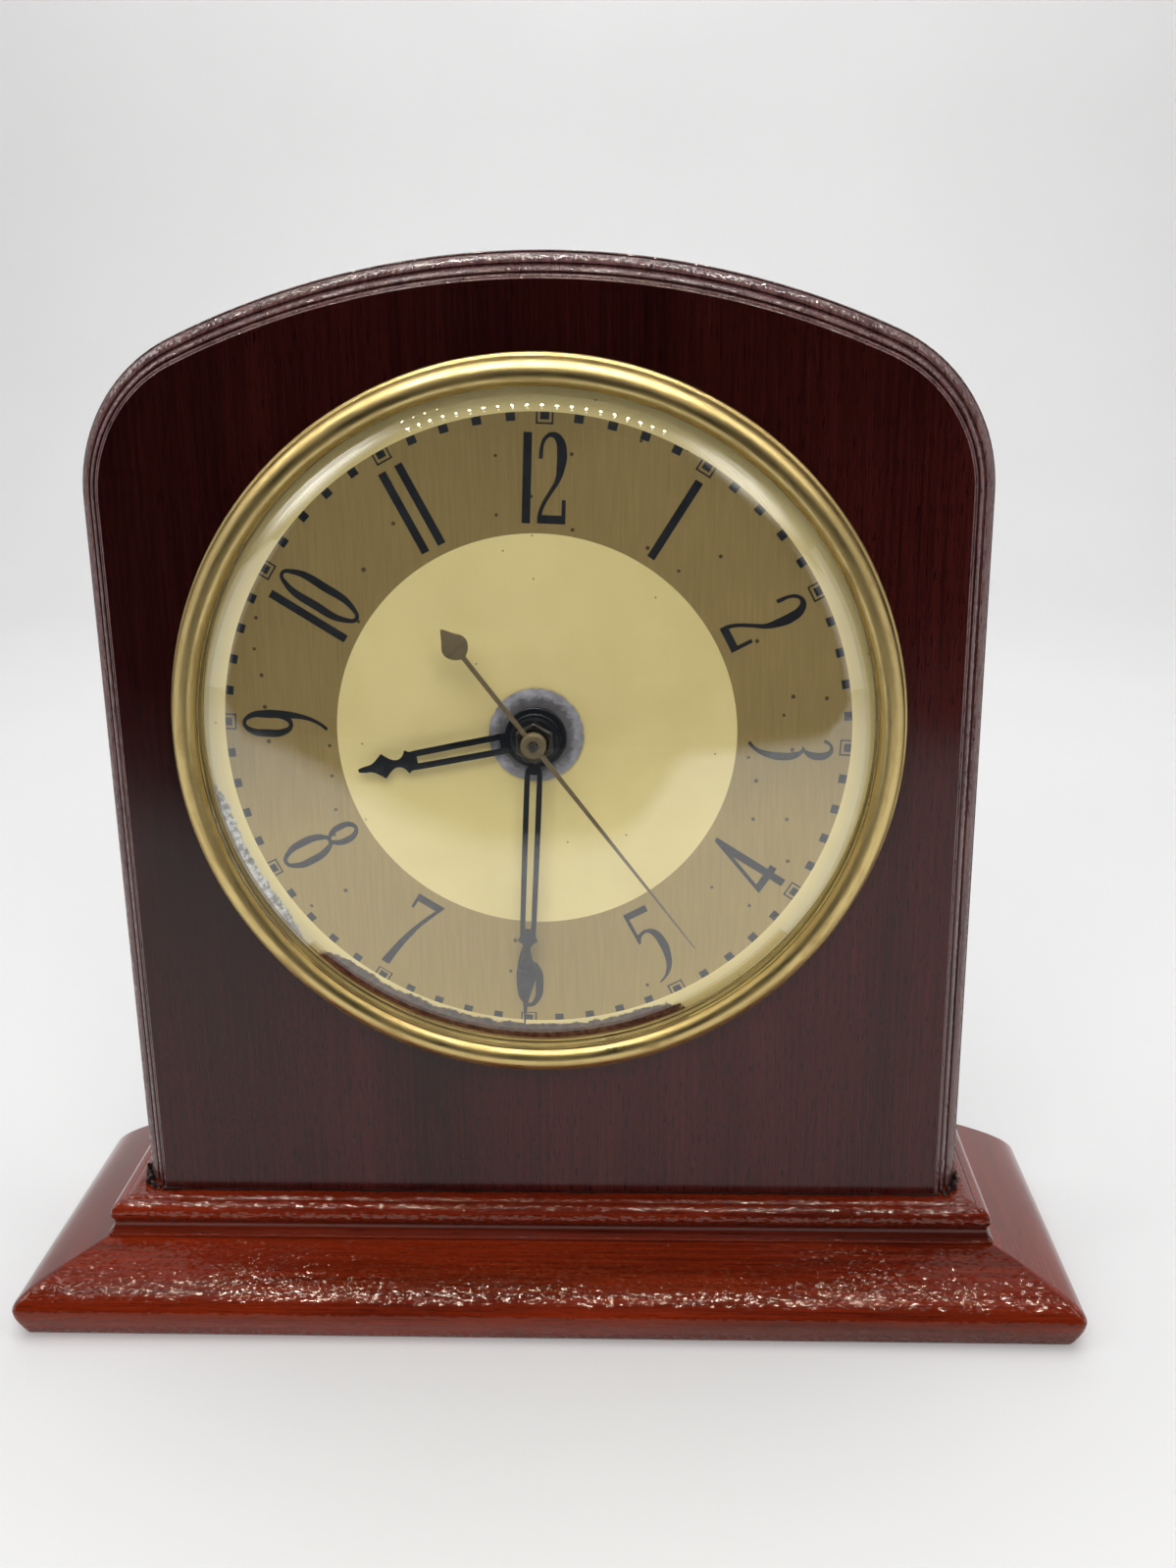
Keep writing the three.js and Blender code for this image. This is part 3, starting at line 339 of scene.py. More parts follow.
def wood(tree, shader, dark, light, grain, figure_scale=60.0, gloss=0.2, relief=0.01, coat=0.4, coat_gloss=0.1,
         painted_sheen=1.0, shine=(0.5, (1, 1, 1)), glitter=0.0):
    """Varnished mahogany whose grain runs along an axis, or along the piece's own run attribute.

    The relief is the depth of the cut fibres in millimetres; a painted sheen above one pales the foot and one side, as
    painted reflection of the pale floor;
    the shine is the strength and the tint of the varnish's mirroring; the glitter is how far its patches lean.
    """
    if grain in GRAIN_TURNS:
        vector = object_vector(tree, turn=GRAIN_TURNS[grain])
    else:
        vector = node(tree, "Attribute", attribute_name=grain).outputs["Vector"]
    sockets = {"Vector": vector, "Figure Scale": figure_scale}
    grown = node(tree, "Group", sockets, node_tree=wood_grain()).outputs
    streaks = weighed(tree, grown["Figure"], 0.5, grown["Fibre"], 0.5)
    body = blend_colour(tree, ranged(tree, streaks, 0.34, 0.66), dark, light)
    # Painted reflection: above one, the panel's foot and one side grow paler where the pale floor mirrors in the
    # varnish
    if painted_sheen != 1.0:
        parts = parts_of(tree, vector)
        rise = math_node(tree, "SUBTRACT", parts["Z"], parts["X"])
        share = ranged(tree, rise, SHEEN_TOP, SHEEN_FOOT)
        body = blend_colour(tree, share, body, stretched(tree, body, (painted_sheen,) * 3))
    pored = scaled(tree, grown["Pores"], 0.8 if grain == "Z" else 0.45)
    height = math_node(tree, "SUBTRACT", grown["Glitter"], scaled(tree, grown["Pores"], 0.5))
    bump(tree, shader, height, 1.0, relief * MM, glints(tree, vector, glitter) if glitter else None)
    fill(tree, shader, {
        "Base Color": blend_colour(tree, pored, body, shaded(dark, 0.4)),
        "Roughness": ranged(tree, handled(tree, vector)["Smudge"], 0.3, 0.7, gloss * 0.8, gloss * 1.3),
        "Coat Weight": coat, "Coat Roughness": coat_gloss, "IOR": 1.45,
        "Specular IOR Level": shine[0], "Specular Tint": (*shine[1], 1),
    })


def metal(tree, shader, colour, dark, gloss, tarnish=0.35, line_relief=0.03, metallic=1.0):
    """Metal with smudges, tarnish and turned lines about the dial's axis."""
    vector = object_vector(tree, AXIS)
    lines = node(tree, "Group", {"Vector": vector}, node_tree=turned_lines()).outputs
    stained = weighed(tree, handled(tree, vector, 120.0)["Smudge"], 0.45, lines["Stains"], 0.55)
    bump(tree, shader, lines["Lines"], line_relief, 0.02 * MM)
    fill(tree, shader, {
        "Base Color": blend_colour(tree, ranged(tree, stained, 0.48, 0.68, 0.0, tarnish), colour, dark),
        "Roughness": ranged(tree, stained, 0.35, 0.7, gloss * 0.75, gloss * 1.6),
        "Metallic": metallic,
    })


def moulded_stuff(tree, shader, colour, gloss, mottle, relief, scale=400.0):
    """Plastic, rubber or fibre with a mottled colour and a fine grain."""
    marks = handled(tree, object_vector(tree), scale)
    share = ranged(tree, marks["Smudge"], 0.3, 0.7)
    bump(tree, shader, marks["Grain"], relief, 0.05 * MM)
    fill(tree, shader, {
        "Base Color": blend_colour(tree, share, shaded(colour, 1 - mottle), shaded(colour, 1 + mottle)),
        "Roughness": ranged(tree, marks["Smudge"], 0.3, 0.7, gloss * 0.8, gloss * 1.2),
    })


def fibre_dark_round_hole(tree, shader, colour):
    """Grey fibre, darker in a ragged ring about its hole."""
    moulded_stuff(tree, shader, colour, 0.6, 0.35, 0.3)
    vector = object_vector(tree, AXIS)
    ragged = scaled(tree, noise_value(tree, vector, 700, 4, 0.7), 4 * MM)
    reach = math_node(tree, "ADD", reach_of(tree, vector), ragged)
    darker_round_hole = ranged(tree, reach, 8.4 * MM, 9.4 * MM, 0.7, 0.0)
    body = shader.inputs["Base Color"].links[0].from_socket
    fill(tree, shader, {"Base Color": blend_colour(tree, darker_round_hole, body, (0.05, 0.045, 0.04))})


def clear_glass(tree, shader):
    """Clear glass that lets the light fall through to the dial."""
    smudge = handled(tree, object_vector(tree, AXIS), 55.0)["Smudge"]
    fill(tree, shader, {
        "Base Color": (0.955, 0.97, 0.94, 1), "Transmission Weight": 1.0, "IOR": 1.8,
        "Roughness": ranged(tree, smudge, 0.55, 0.8, 0.0, 0.012),
    })
    path = node(tree, "LightPath").outputs
    share = math_node(tree, "MAXIMUM", path["Is Shadow Ray"], path["Is Diffuse Ray"])
    open_way = node(tree, "BsdfTransparent").outputs[0]
    mixed = node(tree, "MixShader", {0: share, 1: shader.outputs[0], 2: open_way}).outputs[0]
    fill(tree, tree.nodes["Material Output"], {"Surface": mixed})


def floor_lit_lower_half(tree, vector, body, paler):
    """Pales the lower half of the dial: painted light and reflection of the bright floor in front."""
    rise = parts_of(tree, vector)["Z"]
    return blend_colour(tree, ranged(tree, rise, 2 * MM, -18 * MM), body, stretched(tree, body, paler))


def corroded_and_shaded(tree, vector, body):
    """Lacquer with painted shade along the dial's rim, and there a dark stretch of corrosion that is partly painted
    shade, and a stretch of white bloom.
    """
    parts = parts_of(tree, vector)
    reach = reach_of(tree, vector)
    shares, spreads = [], []
    for worst, low, high, inner, outer in (RUST_AND_SHADE, BLOOM):
        worst = math.radians(worst)
        towards = weighed(tree, parts["X"], math.sin(worst), parts["Z"], math.cos(worst))
        shares.append(ranged(tree, math_node(tree, "DIVIDE", towards, reach), low, high))
        spreads.append(scaled(tree, shares[-1], ranged(tree, reach, inner * MM, outer * MM)))
    spread = scaled(tree, math_node(tree, "MAXIMUM", *spreads), 1.25)
    ragged = math_node(tree, "ADD", spread, noise_value(tree, vector, 420, 5, 0.7))
    flakes = ranged(tree, noise_value(tree, vector, 900, 4, 0.7), 0.4, 0.6)
    # Dark corrosion colours, partly painted shade inside the bezel's rim
    rust_and_shade = blend_colour(tree, flakes, (0.012, 0.006, 0.004), (0.1, 0.055, 0.033))
    bloom = blend_colour(tree, flakes, (0.1, 0.085, 0.075), (0.66, 0.66, 0.68))
    # Painted shade: the lacquer darkens towards the rim, where the bezel and the glass's shoulder shade it
    rim_shade = stretched(tree, body, (0.72, 0.74, 0.8))
    body = blend_colour(tree, ranged(tree, reach, 56 * MM, 59.5 * MM), body, rim_shade)
    return blend_colour(tree, ranged(tree, ragged, 0.98, 1.08), body, blend_colour(tree, shares[-1], rust_and_shade, bloom))


def dial_lacquer(tree, shader, colour, speck_share, eaten_and_shaded):
    """Aged lacquer with faint stains, small specks and, where asked, corrosion and painted shade near the bezel."""
    vector = object_vector(tree, AXIS)
    marks = handled(tree, vector, 28.0, 190.0, 0.055, speck_share)
    stain = tuple(part * share for part, share in zip(colour, (0.86, 0.83, 0.74)))
    body = blend_colour(tree, ranged(tree, marks["Smudge"], 0.4, 0.75), colour, stain)
    body = blend_colour(tree, scaled(tree, marks["Specks"], 0.7), body, (0.07, 0.05, 0.03))
    if eaten_and_shaded:
        body = corroded_and_shaded(tree, vector, body)
    bump(tree, shader, marks["Grain"], 0.06, 0.03 * MM)
    # The lower half is paler: painted light and reflection of the bright floor
    fill(tree, shader, {
        "Base Color": floor_lit_lower_half(tree, vector, body, (1.18, 1.2, 1.16)),
        "Roughness": ranged(tree, marks["Smudge"], 0.3, 0.7, 0.34, 0.46),
    })


def bronze_paint(tree, shader, colour):
    """Satin metallic paint with a faint upright brush and small specks."""
    vector = object_vector(tree, AXIS)
    marks = handled(tree, vector, 24.0, 160.0, 0.072, 0.3)
    brush = drawn_noise(tree, vector, 0.05, 2200, 2, 0.5)
    share = ranged(tree, weighed(tree, brush, 0.5, marks["Smudge"], 0.5), 0.35, 0.65)
    body = blend_colour(tree, share, shaded(colour, 0.9), shaded(colour, 1.12))
    body = blend_colour(tree, scaled(tree, marks["Specks"], 0.85), body, (0.04, 0.028, 0.018))
    bump(tree, shader, brush, 0.04, 0.02 * MM)
    # The ring's lower half is paler: painted light and reflection of the bright floor
    fill(tree, shader, {
        "Base Color": floor_lit_lower_half(tree, vector, body, (1.43, 1.44, 1.26)), "Metallic": 0.35,
        "Roughness": ranged(tree, marks["Smudge"], 0.3, 0.7, 0.42, 0.5),
    })


def crackle_paint(tree, shader):
    """Brown crackle paint of the back cover."""
    vector = object_vector(tree)
    sockets = {"Vector": vector, "Scale": 650.0, "Randomness": 1.0}
    cells = node(tree, "TexVoronoi", sockets, feature="DISTANCE_TO_EDGE").outputs["Distance"]
    ridge = ranged(tree, cells, 0.02, 0.22)
    body = blend_colour(tree, ridge, (0.016, 0.01, 0.007), (0.055, 0.034, 0.022))
    worn = scaled(tree, ranged(tree, handled(tree, vector, 30.0)["Smudge"], 0.55, 0.8), 0.35)
    bump(tree, shader, ridge, 0.5, 0.12 * MM)
    fill(tree, shader, {
        "Base Color": blend_colour(tree, worn, body, (0.09, 0.065, 0.045)),
        "Roughness": ranged(tree, ridge, 0.0, 1.0, 0.6, 0.38),
    })


def plain_floor(tree, shader, colour):
    """Pale matt sweep, mirrored as if it darkened towards its front edge."""
    vector = object_vector(tree)
    parts = parts_of(tree, vector)
    uneven = scaled(tree, noise_value(tree, vector, 9, 3, 0.5), 0.05)
    nearer = 0.19
    for low, high in ((-0.35, 0.0), (0.12, 0.02)):
        nearer = scaled(tree, ranged(tree, parts["X"], low, high, kind="SMOOTHSTEP"), nearer)
    depth = math_node(tree, "SUBTRACT", math_node(tree, "ADD", parts["Y"], uneven), nearer)
    seen = math_node(tree, "SUBTRACT", 1.0, node(tree, "LightPath").outputs["Is Glossy Ray"])
    edge = math_node(tree, "MAXIMUM", ranged(tree, depth, -0.425, -0.375, 0.05, 0.9), seen)
    cloudy = ranged(tree, noise_value(tree, vector, 6, 4, 0.5), 0.3, 0.7, 0.97, 1.0)
    fill(tree, shader, {
        "Base Color": blend_colour(tree, scaled(tree, edge, cloudy), (0, 0, 0), colour), "Roughness": 0.55
    })


def soft_glow(tree, shader, strength):
    """Emission of a soft card: bright in its middle, uneven along its length and fading at its edges."""
    spread = node(tree, "Attribute", attribute_name="spread").outputs["Vector"]
    parts = parts_of(tree, spread)
    level = 1.0
    for axis in ("X", "Y"):
        away = math_node(tree, "ABSOLUTE", parts[axis])
        level = scaled(tree, ranged(tree, away, 1.0, 0.15, kind="SMOOTHSTEP"), level)
    streaks = noise_value(tree, stretched(tree, spread, (1.0, 7.0, 1.0)), 2.2, 5, 0.6)
    level = scaled(tree, level, ranged(tree, streaks, 0.35, 0.65, 0.3, 1.0))
    fill(tree, shader, {
        "Base Color": (0, 0, 0, 1), "Emission Strength": strength,
        "Emission Color": blend_colour(tree, level, (0, 0, 0), (1, 0.98, 0.94)),
    })


def recipe(maker, *values, **named):
    """What fills a finish's tree and shader, and from which values."""
    return maker, values, named


def finishes():
    """The recipe of each finish, by name."""
    case, dial = bpy.context.scene.clock_case, bpy.context.scene.clock_dial
    panel, base = (case.panel_dark, case.panel_light), (case.base_dark, case.base_light)
    # Paler copies of the base's colours for its ends: painted light on the ends that face the bright sides
    ends = shaded(case.base_dark, 1.5), shaded(case.base_light, 1.1)
    # Darker copies of the base's colours: painted shade in the plinth's hollow
    cove_shade = shaded(case.base_dark, 0.65), shaded(case.base_light, 0.6)
    return {
        # panel_wood's last value pales its foot and one side: painted reflection of the floor
        "panel_wood": recipe(wood, *panel, "Z", 60.0, 0.16, 0.004, 0.06, 0.06, 2.2),
        # panel_edge's pale colours carry painted sheen of light on the reeds
        "panel_edge": recipe(wood, case.edge_dark, case.edge_light, "Z", 300.0, 0.12, 0.012, 0.0, 0.15,
                             shine=(1.0, (1, 0.95, 0.95)), glitter=0.3),
        "base_wood": recipe(wood, *base, "X", 60.0, 0.085, 0.01, 0.0, shine=(0.62, (1, 0.78, 0.68)), glitter=0.21),
        "plinth_wood": recipe(wood, *base, "X", 60.0, 0.12, 0.01, 0.0, shine=(1.0, (1, 0.84, 0.76)), glitter=0.4),
        "base_wood_ends": recipe(wood, *ends, "Y", 60.0, 0.2, 0.004, 0.95, 0.14),
        "shaded_cove_wood": recipe(wood, *cove_shade, "X"),
        "case_wood": recipe(wood, *panel, "Z", 70.0, 0.3, 0.004, 0.15, 0.2),
        "arch_wood": recipe(wood, *panel, "run", 70.0, 0.3, 0.004, 0.15, 0.2),
        "brass": recipe(metal, (0.66, 0.48, 0.2), (0.3, 0.19, 0.07), 0.22),
        "bezel_brass": recipe(metal, (0.77, 0.59, 0.25), (0.4, 0.25, 0.08), 0.36, tarnish=0.6, line_relief=0.004),
        "seconds_brass": recipe(metal, (0.25, 0.195, 0.115), (0.15, 0.12, 0.075), 0.5, metallic=0.5),
        "dark_steel": recipe(metal, (0.12, 0.115, 0.11), (0.05, 0.045, 0.04), 0.3),
        "steel": recipe(metal, (0.52, 0.52, 0.51), (0.24, 0.22, 0.2), 0.25),
        "blued_steel": recipe(metal, (0.018, 0.022, 0.032), (0.01, 0.01, 0.012), 0.3, tarnish=0.8, metallic=0.6),
        "magnet_steel": recipe(metal, (0.2, 0.19, 0.18), (0.09, 0.075, 0.06), 0.45),
        "copper_wire": recipe(metal, (0.48, 0.17, 0.07), (0.2, 0.06, 0.03), 0.28),
        "dial_paint": recipe(dial_lacquer, dial.cream, 0.06, False),
        "dial_edge": recipe(dial_lacquer, dial.cream, 0.12, True),
        "dial_bronze": recipe(bronze_paint, dial.bronze),
        "dial_ink": recipe(moulded_stuff, dial.ink, 0.42, 0.35, 0.05),
        "grey_fibre": recipe(fibre_dark_round_hole, (0.31, 0.3, 0.335)),
        "brown_fibre": recipe(moulded_stuff, (0.22, 0.13, 0.06), 0.65, 0.3, 0.3),
        "black_rubber": recipe(moulded_stuff, (0.02, 0.02, 0.02), 0.75, 0.3, 0.3),
        "black_moulding": recipe(moulded_stuff, (0.022, 0.018, 0.016), 0.22, 0.35, 0.06, 90.0),
        "glue": recipe(moulded_stuff, (0.016, 0.006, 0.005), 0.5, 0.6, 0.6, 700.0),
        "clear_glass": recipe(clear_glass),
        "cover_paint": recipe(crackle_paint),
        "pale_sweep": recipe(plain_floor, bpy.context.scene.clock_stage.floor_colour),
        "screen_front": recipe(fill, {"Base Color": (0.012, 0.01, 0.009, 1), "Roughness": 1.0}),
        "screen_top": recipe(fill, {"Base Color": (0.1, 0.095, 0.085, 1), "Roughness": 1.0}),
        "card_left": recipe(soft_glow, 6.0),
        "card_right": recipe(soft_glow, 3.8),
        "lamp_glow": recipe(fill, {
            "Base Color": (0, 0, 0, 1), "Emission Color": (1, 0.97, 0.92, 1), "Emission Strength": 600.0
        }),
    }


def finish(name):
    """A finish by its name, made when it is first asked for."""
    if name not in MADE_FINISHES:
        made = MADE_FINISHES[name] = bpy.data.materials.new(name)
        made.use_nodes = True
        tree = made.node_tree
        maker, values, named = finishes()[name]
        maker(tree, tree.nodes["Principled BSDF"], *values, **named)
    return MADE_FINISHES[name]


# Mesh helpers

# Points nearer to each other than this become one
MERGE = 0.001 * MM
# Cosine of the tilt up to which a face counts as flat
FLAT = 0.99
UPRIGHT = Matrix.Rotation(math.pi / 2, 4, "X")


def verts_of(geometry):
    """The vertices among what a mesh step made."""
    return [part for part in geometry if isinstance(part, bmesh.types.BMVert)]


def shown(name, bm, finish_names):
    """Turns a bmesh into a smooth object of the scene with its finishes."""
    for face in bm.faces:
        face.smooth = True
    mesh = bpy.data.meshes.new(name)
    bm.to_mesh(mesh)
    bm.free()
    for finish_name in finish_names:
        mesh.materials.append(finish(finish_name))
    made = bpy.data.objects.new(name, mesh)
    bpy.context.scene.collection.objects.link(made)
    return made


def piece(name, bm, finish_names, stands_for=(), body="case", crease=32.0):
    """Turns a bmesh into a finished piece that rides on its body."""
    bmesh.ops.remove_doubles(bm, verts=bm.verts, dist=MERGE)
    bmesh.ops.recalc_face_normals(bm, faces=bm.faces)
    limit = math.radians(crease)
    for edge in bm.edges:
        edge.smooth = edge.is_manifold and edge.calc_face_angle(0) < limit and edge.smooth
    made = shown(name, bm, finish_names)
    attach(made, body)
    if stands_for:
        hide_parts(*stands_for)


def stage_piece(name, bm, finish_name):
    """Turns a bmesh into a piece of the stage."""
    bmesh.ops.remove_doubles(bm, verts=bm.verts, dist=MERGE)
    made = shown(name, bm, [finish_name])
    return made


def quarter(across, out, across_radius, out_radius, steps=6):
    """Points on a quarter of an ellipse, from its side to its top, as [across, out] pairs in millimetres."""
    angles = [math.radians(90 * step / steps) for step in range(steps + 1)]
    return [(across + across_radius * math.cos(angle), out + out_radius * math.sin(angle)) for angle in angles]


def turned(bm, profile, centre=AXIS, steps=128, closed=True):
    """Spins a line of [radius, depth] points in millimetres about an axis along Y."""
    verts = [bm.verts.new((centre.x + radius * MM, depth * MM, centre.z)) for radius, depth in profile]
    edges = [bm.edges.new(pair) for pair in zip(verts, verts[1:])]
    if closed:
        edges.append(bm.edges.new((verts[-1], verts[0])))
    bmesh.ops.spin(
        bm, geom=verts + edges, cent=(centre.x, 0, centre.z), axis=(0, 1, 0), angle=2 * math.pi,
        steps=steps, use_merge=True,
    )
    bmesh.ops.remove_doubles(bm, verts=bm.verts, dist=MERGE)


def swung(bm, vert, across, height, angle, steps):
    """Swings a vertex round a point in the plane of the case, and gives the last vertex."""
    made = bmesh.ops.spin(
        bm, geom=[vert], cent=(across, vert.co.y, height), axis=(0, 1, 0), angle=-angle, steps=steps
    )
    return verts_of(made["geom_last"])[0]


def arch_line(bm, inset, depth):
    """The case's round top from the right shoulder over to the left, as a chain of edges; gives its two ends."""
    case = bpy.context.scene.clock_case
    shoulder, arch = case.shoulder_radius, case.arch_radius
    across = PANEL_HIGH.x - shoulder
    centre = PANEL_HIGH.z - arch
    split = math.asin(across / (arch - shoulder))
    height = centre + (arch - shoulder) * math.cos(split)
    first = bm.verts.new((PANEL_HIGH.x - inset, depth, height))
    last = swung(bm, first, across, height, math.pi / 2 - split, 20)
    last = swung(bm, last, 0, centre, 2 * split, 48)
    return first, swung(bm, last, -across, height, math.pi / 2 - split, 20)


def arch_face(bm, inset, depth, foot, front):
    """The whole outline of the case as one face, which looks to the front or to the back."""
    right, left = arch_line(bm, inset, depth)
    low_right = bm.verts.new((right.co.x, depth, foot))
    low_left = bm.verts.new((left.co.x, depth, foot))
    for pair in ((right, low_right), (low_right, low_left), (low_left, left)):
        bm.edges.new(pair)
    face = bmesh.ops.contextual_create(bm, geom=bm.edges[:])["faces"][0]
    bm.normal_update()
    if (face.normal.y < 0) != front:
        bmesh.ops.reverse_faces(bm, faces=[face])
    return face


def risen(bm, face, distance):
    """Draws a face straight out along its normal, and gives the moved face."""
    normal = face.normal.copy()
    made = bmesh.ops.extrude_face_region(bm, geom=[face], use_keep_orig=True)["geom"]
    bmesh.ops.translate(bm, verts=verts_of(made), vec=normal * distance)
    return next(part for part in made if isinstance(part, bmesh.types.BMFace))


def moulded(bm, face, profile):
    """Draws a face out and steps it inwards and outwards, through [inset, rise] points in millimetres."""
    least = 1e-4
    inset, rise = profile[0]
    face = risen(bm, face, rise * MM)
    for next_inset, next_rise in profile[1:]:
        bmesh.ops.inset_region(
            bm, faces=[face], thickness=max(next_inset - inset, least) * MM, depth=(next_rise - rise) * MM,
            use_even_offset=True, use_boundary=True,
        )
        inset, rise = max(next_inset, inset + least), next_rise
    bmesh.ops.recalc_face_normals(bm, faces=bm.faces)


def cut_flat(bm, point, normal):
    """Cuts away what lies beyond a plane and closes the cut."""
    geometry = bm.verts[:] + bm.edges[:] + bm.faces[:]
    made = bmesh.ops.bisect_plane(
        bm, geom=geometry, dist=1e-7, plane_co=point, plane_no=normal, clear_outer=True
    )
    edges = [part for part in made["geom_cut"] if isinstance(part, bmesh.types.BMEdge)]
    bmesh.ops.holes_fill(bm, edges=edges, sides=0)


def flat_face(bm, normal):
    """The largest face that looks along a direction."""
    bm.normal_update()
    return max((face for face in bm.faces if face.normal.dot(normal) > FLAT), key=lambda face: face.calc_area())


def circle(bm, segments, radius, matrix):
    """Adds a ring, and gives its vertices and its edges."""
    verts = bmesh.ops.create_circle(bm, segments=segments, radius=radius, matrix=matrix)["verts"]
    return verts, list({edge for vert in verts for edge in vert.link_edges})


def bridged(bm, rings):
    """Joins each ring of edges to the next."""
    for first, second in zip(rings, rings[1:]):
        bmesh.ops.bridge_loops(bm, edges=first + second)


def pierced(bm, holes):
    """Cuts round holes, given as [across, height, radius], through the two flat faces of a board."""
    rings = [[], []]
    for side, direction in enumerate((Vector((0, -1, 0)), Vector((0, 1, 0)))):
        face = flat_face(bm, direction)
        depth = face.verts[0].co.y
        edges = face.edges[:]
        for edge in edges:
            edge.smooth = False
        bmesh.ops.delete(bm, geom=[face], context="FACES_ONLY")
        for across, height, radius in holes:
            matrix = Matrix.Translation((across, depth, height)) @ UPRIGHT
            ring_edges = circle(bm, 64, radius, matrix)[1]
            rings[side].append(ring_edges)
            edges += ring_edges
        bmesh.ops.triangle_fill(bm, edges=edges, use_beauty=True, use_dissolve=False, normal=direction)
    for ends in zip(*rings):
        bridged(bm, ends)


def mitred(bm, half, front, back, steps):
    """A board with moulded front and ends: a stack of outlines bridged into one solid.

    A step is its inset, height and corner radius in millimetres, from the underside upwards.
    """
    rings = []
    for inset, height, corner in steps:
        x, y, z = half - inset * MM, front + inset * MM, height * MM
        verts = [bm.verts.new(spot) for spot in ((-x, y, z), (x, y, z), (x, back, z), (-x, back, z))]
        bm.faces.new(verts)
        made = bmesh.ops.bevel(
            bm, geom=verts[:2], offset=corner * MM, affect="VERTICES", segments=5, profile=0.5, material=-1
        )
        face = made["verts"][0].link_faces[0]
        rings.append(face.edges[:])
        if height not in (steps[0][1], steps[-1][1]):
            bmesh.ops.delete(bm, geom=[face], context="FACES_ONLY")
    bridged(bm, rings)


def eased(bm, edges):
    """Rounds edges a little."""
    bmesh.ops.bevel(bm, geom=edges, offset=0.4 * MM, affect="EDGES", segments=2, profile=0.5, material=-1)


def cut_shape(loops, thickness, rounding=0.0):
    """A flat closed mesh in the XY plane, from outlines of points in millimetres.

    A point is (across, up) where the outline runs on smoothly, and (across, up, 1) at a corner.
    """
    curve = bpy.data.curves.new("outline", "CURVE")
    curve.dimensions = "2D"
    curve.fill_mode = "BOTH"
    curve.extrude = thickness / 2 - rounding
    curve.bevel_depth = rounding
    curve.bevel_resolution = 1
    curve.offset = -rounding
    curve.resolution_u = 8
    for loop in loops:
        spline = curve.splines.new("BEZIER")
        spline.bezier_points.add(len(loop) - 1)
        spline.use_cyclic_u = True
        for point, spot in zip(spline.bezier_points, loop):
            point.co = (spot[0] * MM, spot[1] * MM, 0)
            point.handle_left_type = point.handle_right_type = "VECTOR" if len(spot) > 2 else "AUTO"
    holder = bpy.data.objects.new("outline", curve)
    bpy.context.scene.collection.objects.link(holder)
    bpy.context.view_layer.update()
    depsgraph = bpy.context.evaluated_depsgraph_get()
    mesh = bpy.data.meshes.new_from_object(holder.evaluated_get(depsgraph))
    bpy.data.objects.remove(holder)
    bpy.data.curves.remove(curve)
    return mesh


def add_shape(bm, mesh, matrix):
    """Adds a flat mesh to a bmesh at its place."""
    before = len(bm.verts)
    bm.from_mesh(mesh)
    bm.verts.ensure_lookup_table()
    bmesh.ops.transform(bm, matrix=matrix, verts=bm.verts[before:])
    bpy.data.meshes.remove(mesh)


def on_dial(angle, radius, depth):
    """Matrix that stands a flat shape on the dial: at an angle clockwise from twelve and a radius."""
    turn = Matrix.Rotation(angle, 4, "Y")
    return Matrix.Translation((0, depth, AXIS.z)) @ turn @ Matrix.Translation((0, 0, radius)) @ UPRIGHT


def block(bm, width, depth, height, matrix):
    """A box at a place."""
    bmesh.ops.create_cube(bm, size=1, matrix=matrix @ Matrix.Diagonal((width, depth, height, 1)))


def place_of(name):
    """The low and high corners of a node's box, and its middle."""
    low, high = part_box(name)
    return low, high, (low + high) / 2


def spoke_of(spot):
    """A place as seen from the dial's axis, and how far it lies from it."""
    spoke = spot - AXIS
    return spoke, math.hypot(spoke.x, spoke.z)


# Numerals as outlines in millimetres, drawn upright about their middles

BAR = [(-0.73, 7.65, 1), (0.73, 7.65, 1), (0.73, -7.65, 1), (-0.73, -7.65, 1)]
NOUGHT = [
    [(0, 7.9), (1.7, 6.2), (2.55, 0), (1.7, -6.1), (0, -7.8), (-1.7, -6.1), (-2.55, 0), (-1.7, 6.2)],
    [(0, 7.3), (-0.75, 6.2), (-1.1, 0), (-0.75, -6.1), (0, -7.1), (0.75, -6.1), (1.1, 0), (0.75, 6.2)],
]
TWO = [[
    (-2.0, 3.3, 1), (-1.75, 5.6), (-1.1, 7.05), (0.4, 7.8), (1.95, 7.0), (2.82, 4.3), (2.5, 1.7), (1.7, -0.5),
    (0.4, -2.55), (-0.75, -4.6), (-1.25, -6.15, 1), (2.15, -6.15, 1), (2.15, -3.5, 1), (2.85, -3.5, 1),
    (2.85, -7.6, 1), (-1.98, -7.6, 1), (-1.95, -6.2), (-1.2, -4.0), (0.1, -1.7), (0.9, -0.1), (1.1, 2.2),
    (1.1, 4.6), (0.9, 6.1), (0.1, 6.95), (-0.8, 6.4), (-1.3, 3.3, 1),
]]
THREE = [[
    (-1.35, 6.15, 1), (-0.95, 7.1), (0.5, 7.95), (1.95, 7.1), (2.5, 5.2), (2.15, 3.7), (1.2, 2.6, 1), (2.25, 1.4),
    (2.8, -1.1), (2.4, -3.7), (1.35, -5.9), (0.0, -7.4, 1), (-0.55, -7.0, 1), (0.6, -5.8), (1.15, -4.0), (1.35, -1.5),
    (1.2, 0.9), (0.75, 2.05), (-0.05, 2.4, 1), (0.65, 2.9), (1.05, 4.3), (1.0, 6.3), (0.35, 7.3), (-0.35, 7.0),
    (-0.7, 6.15, 1),
]]
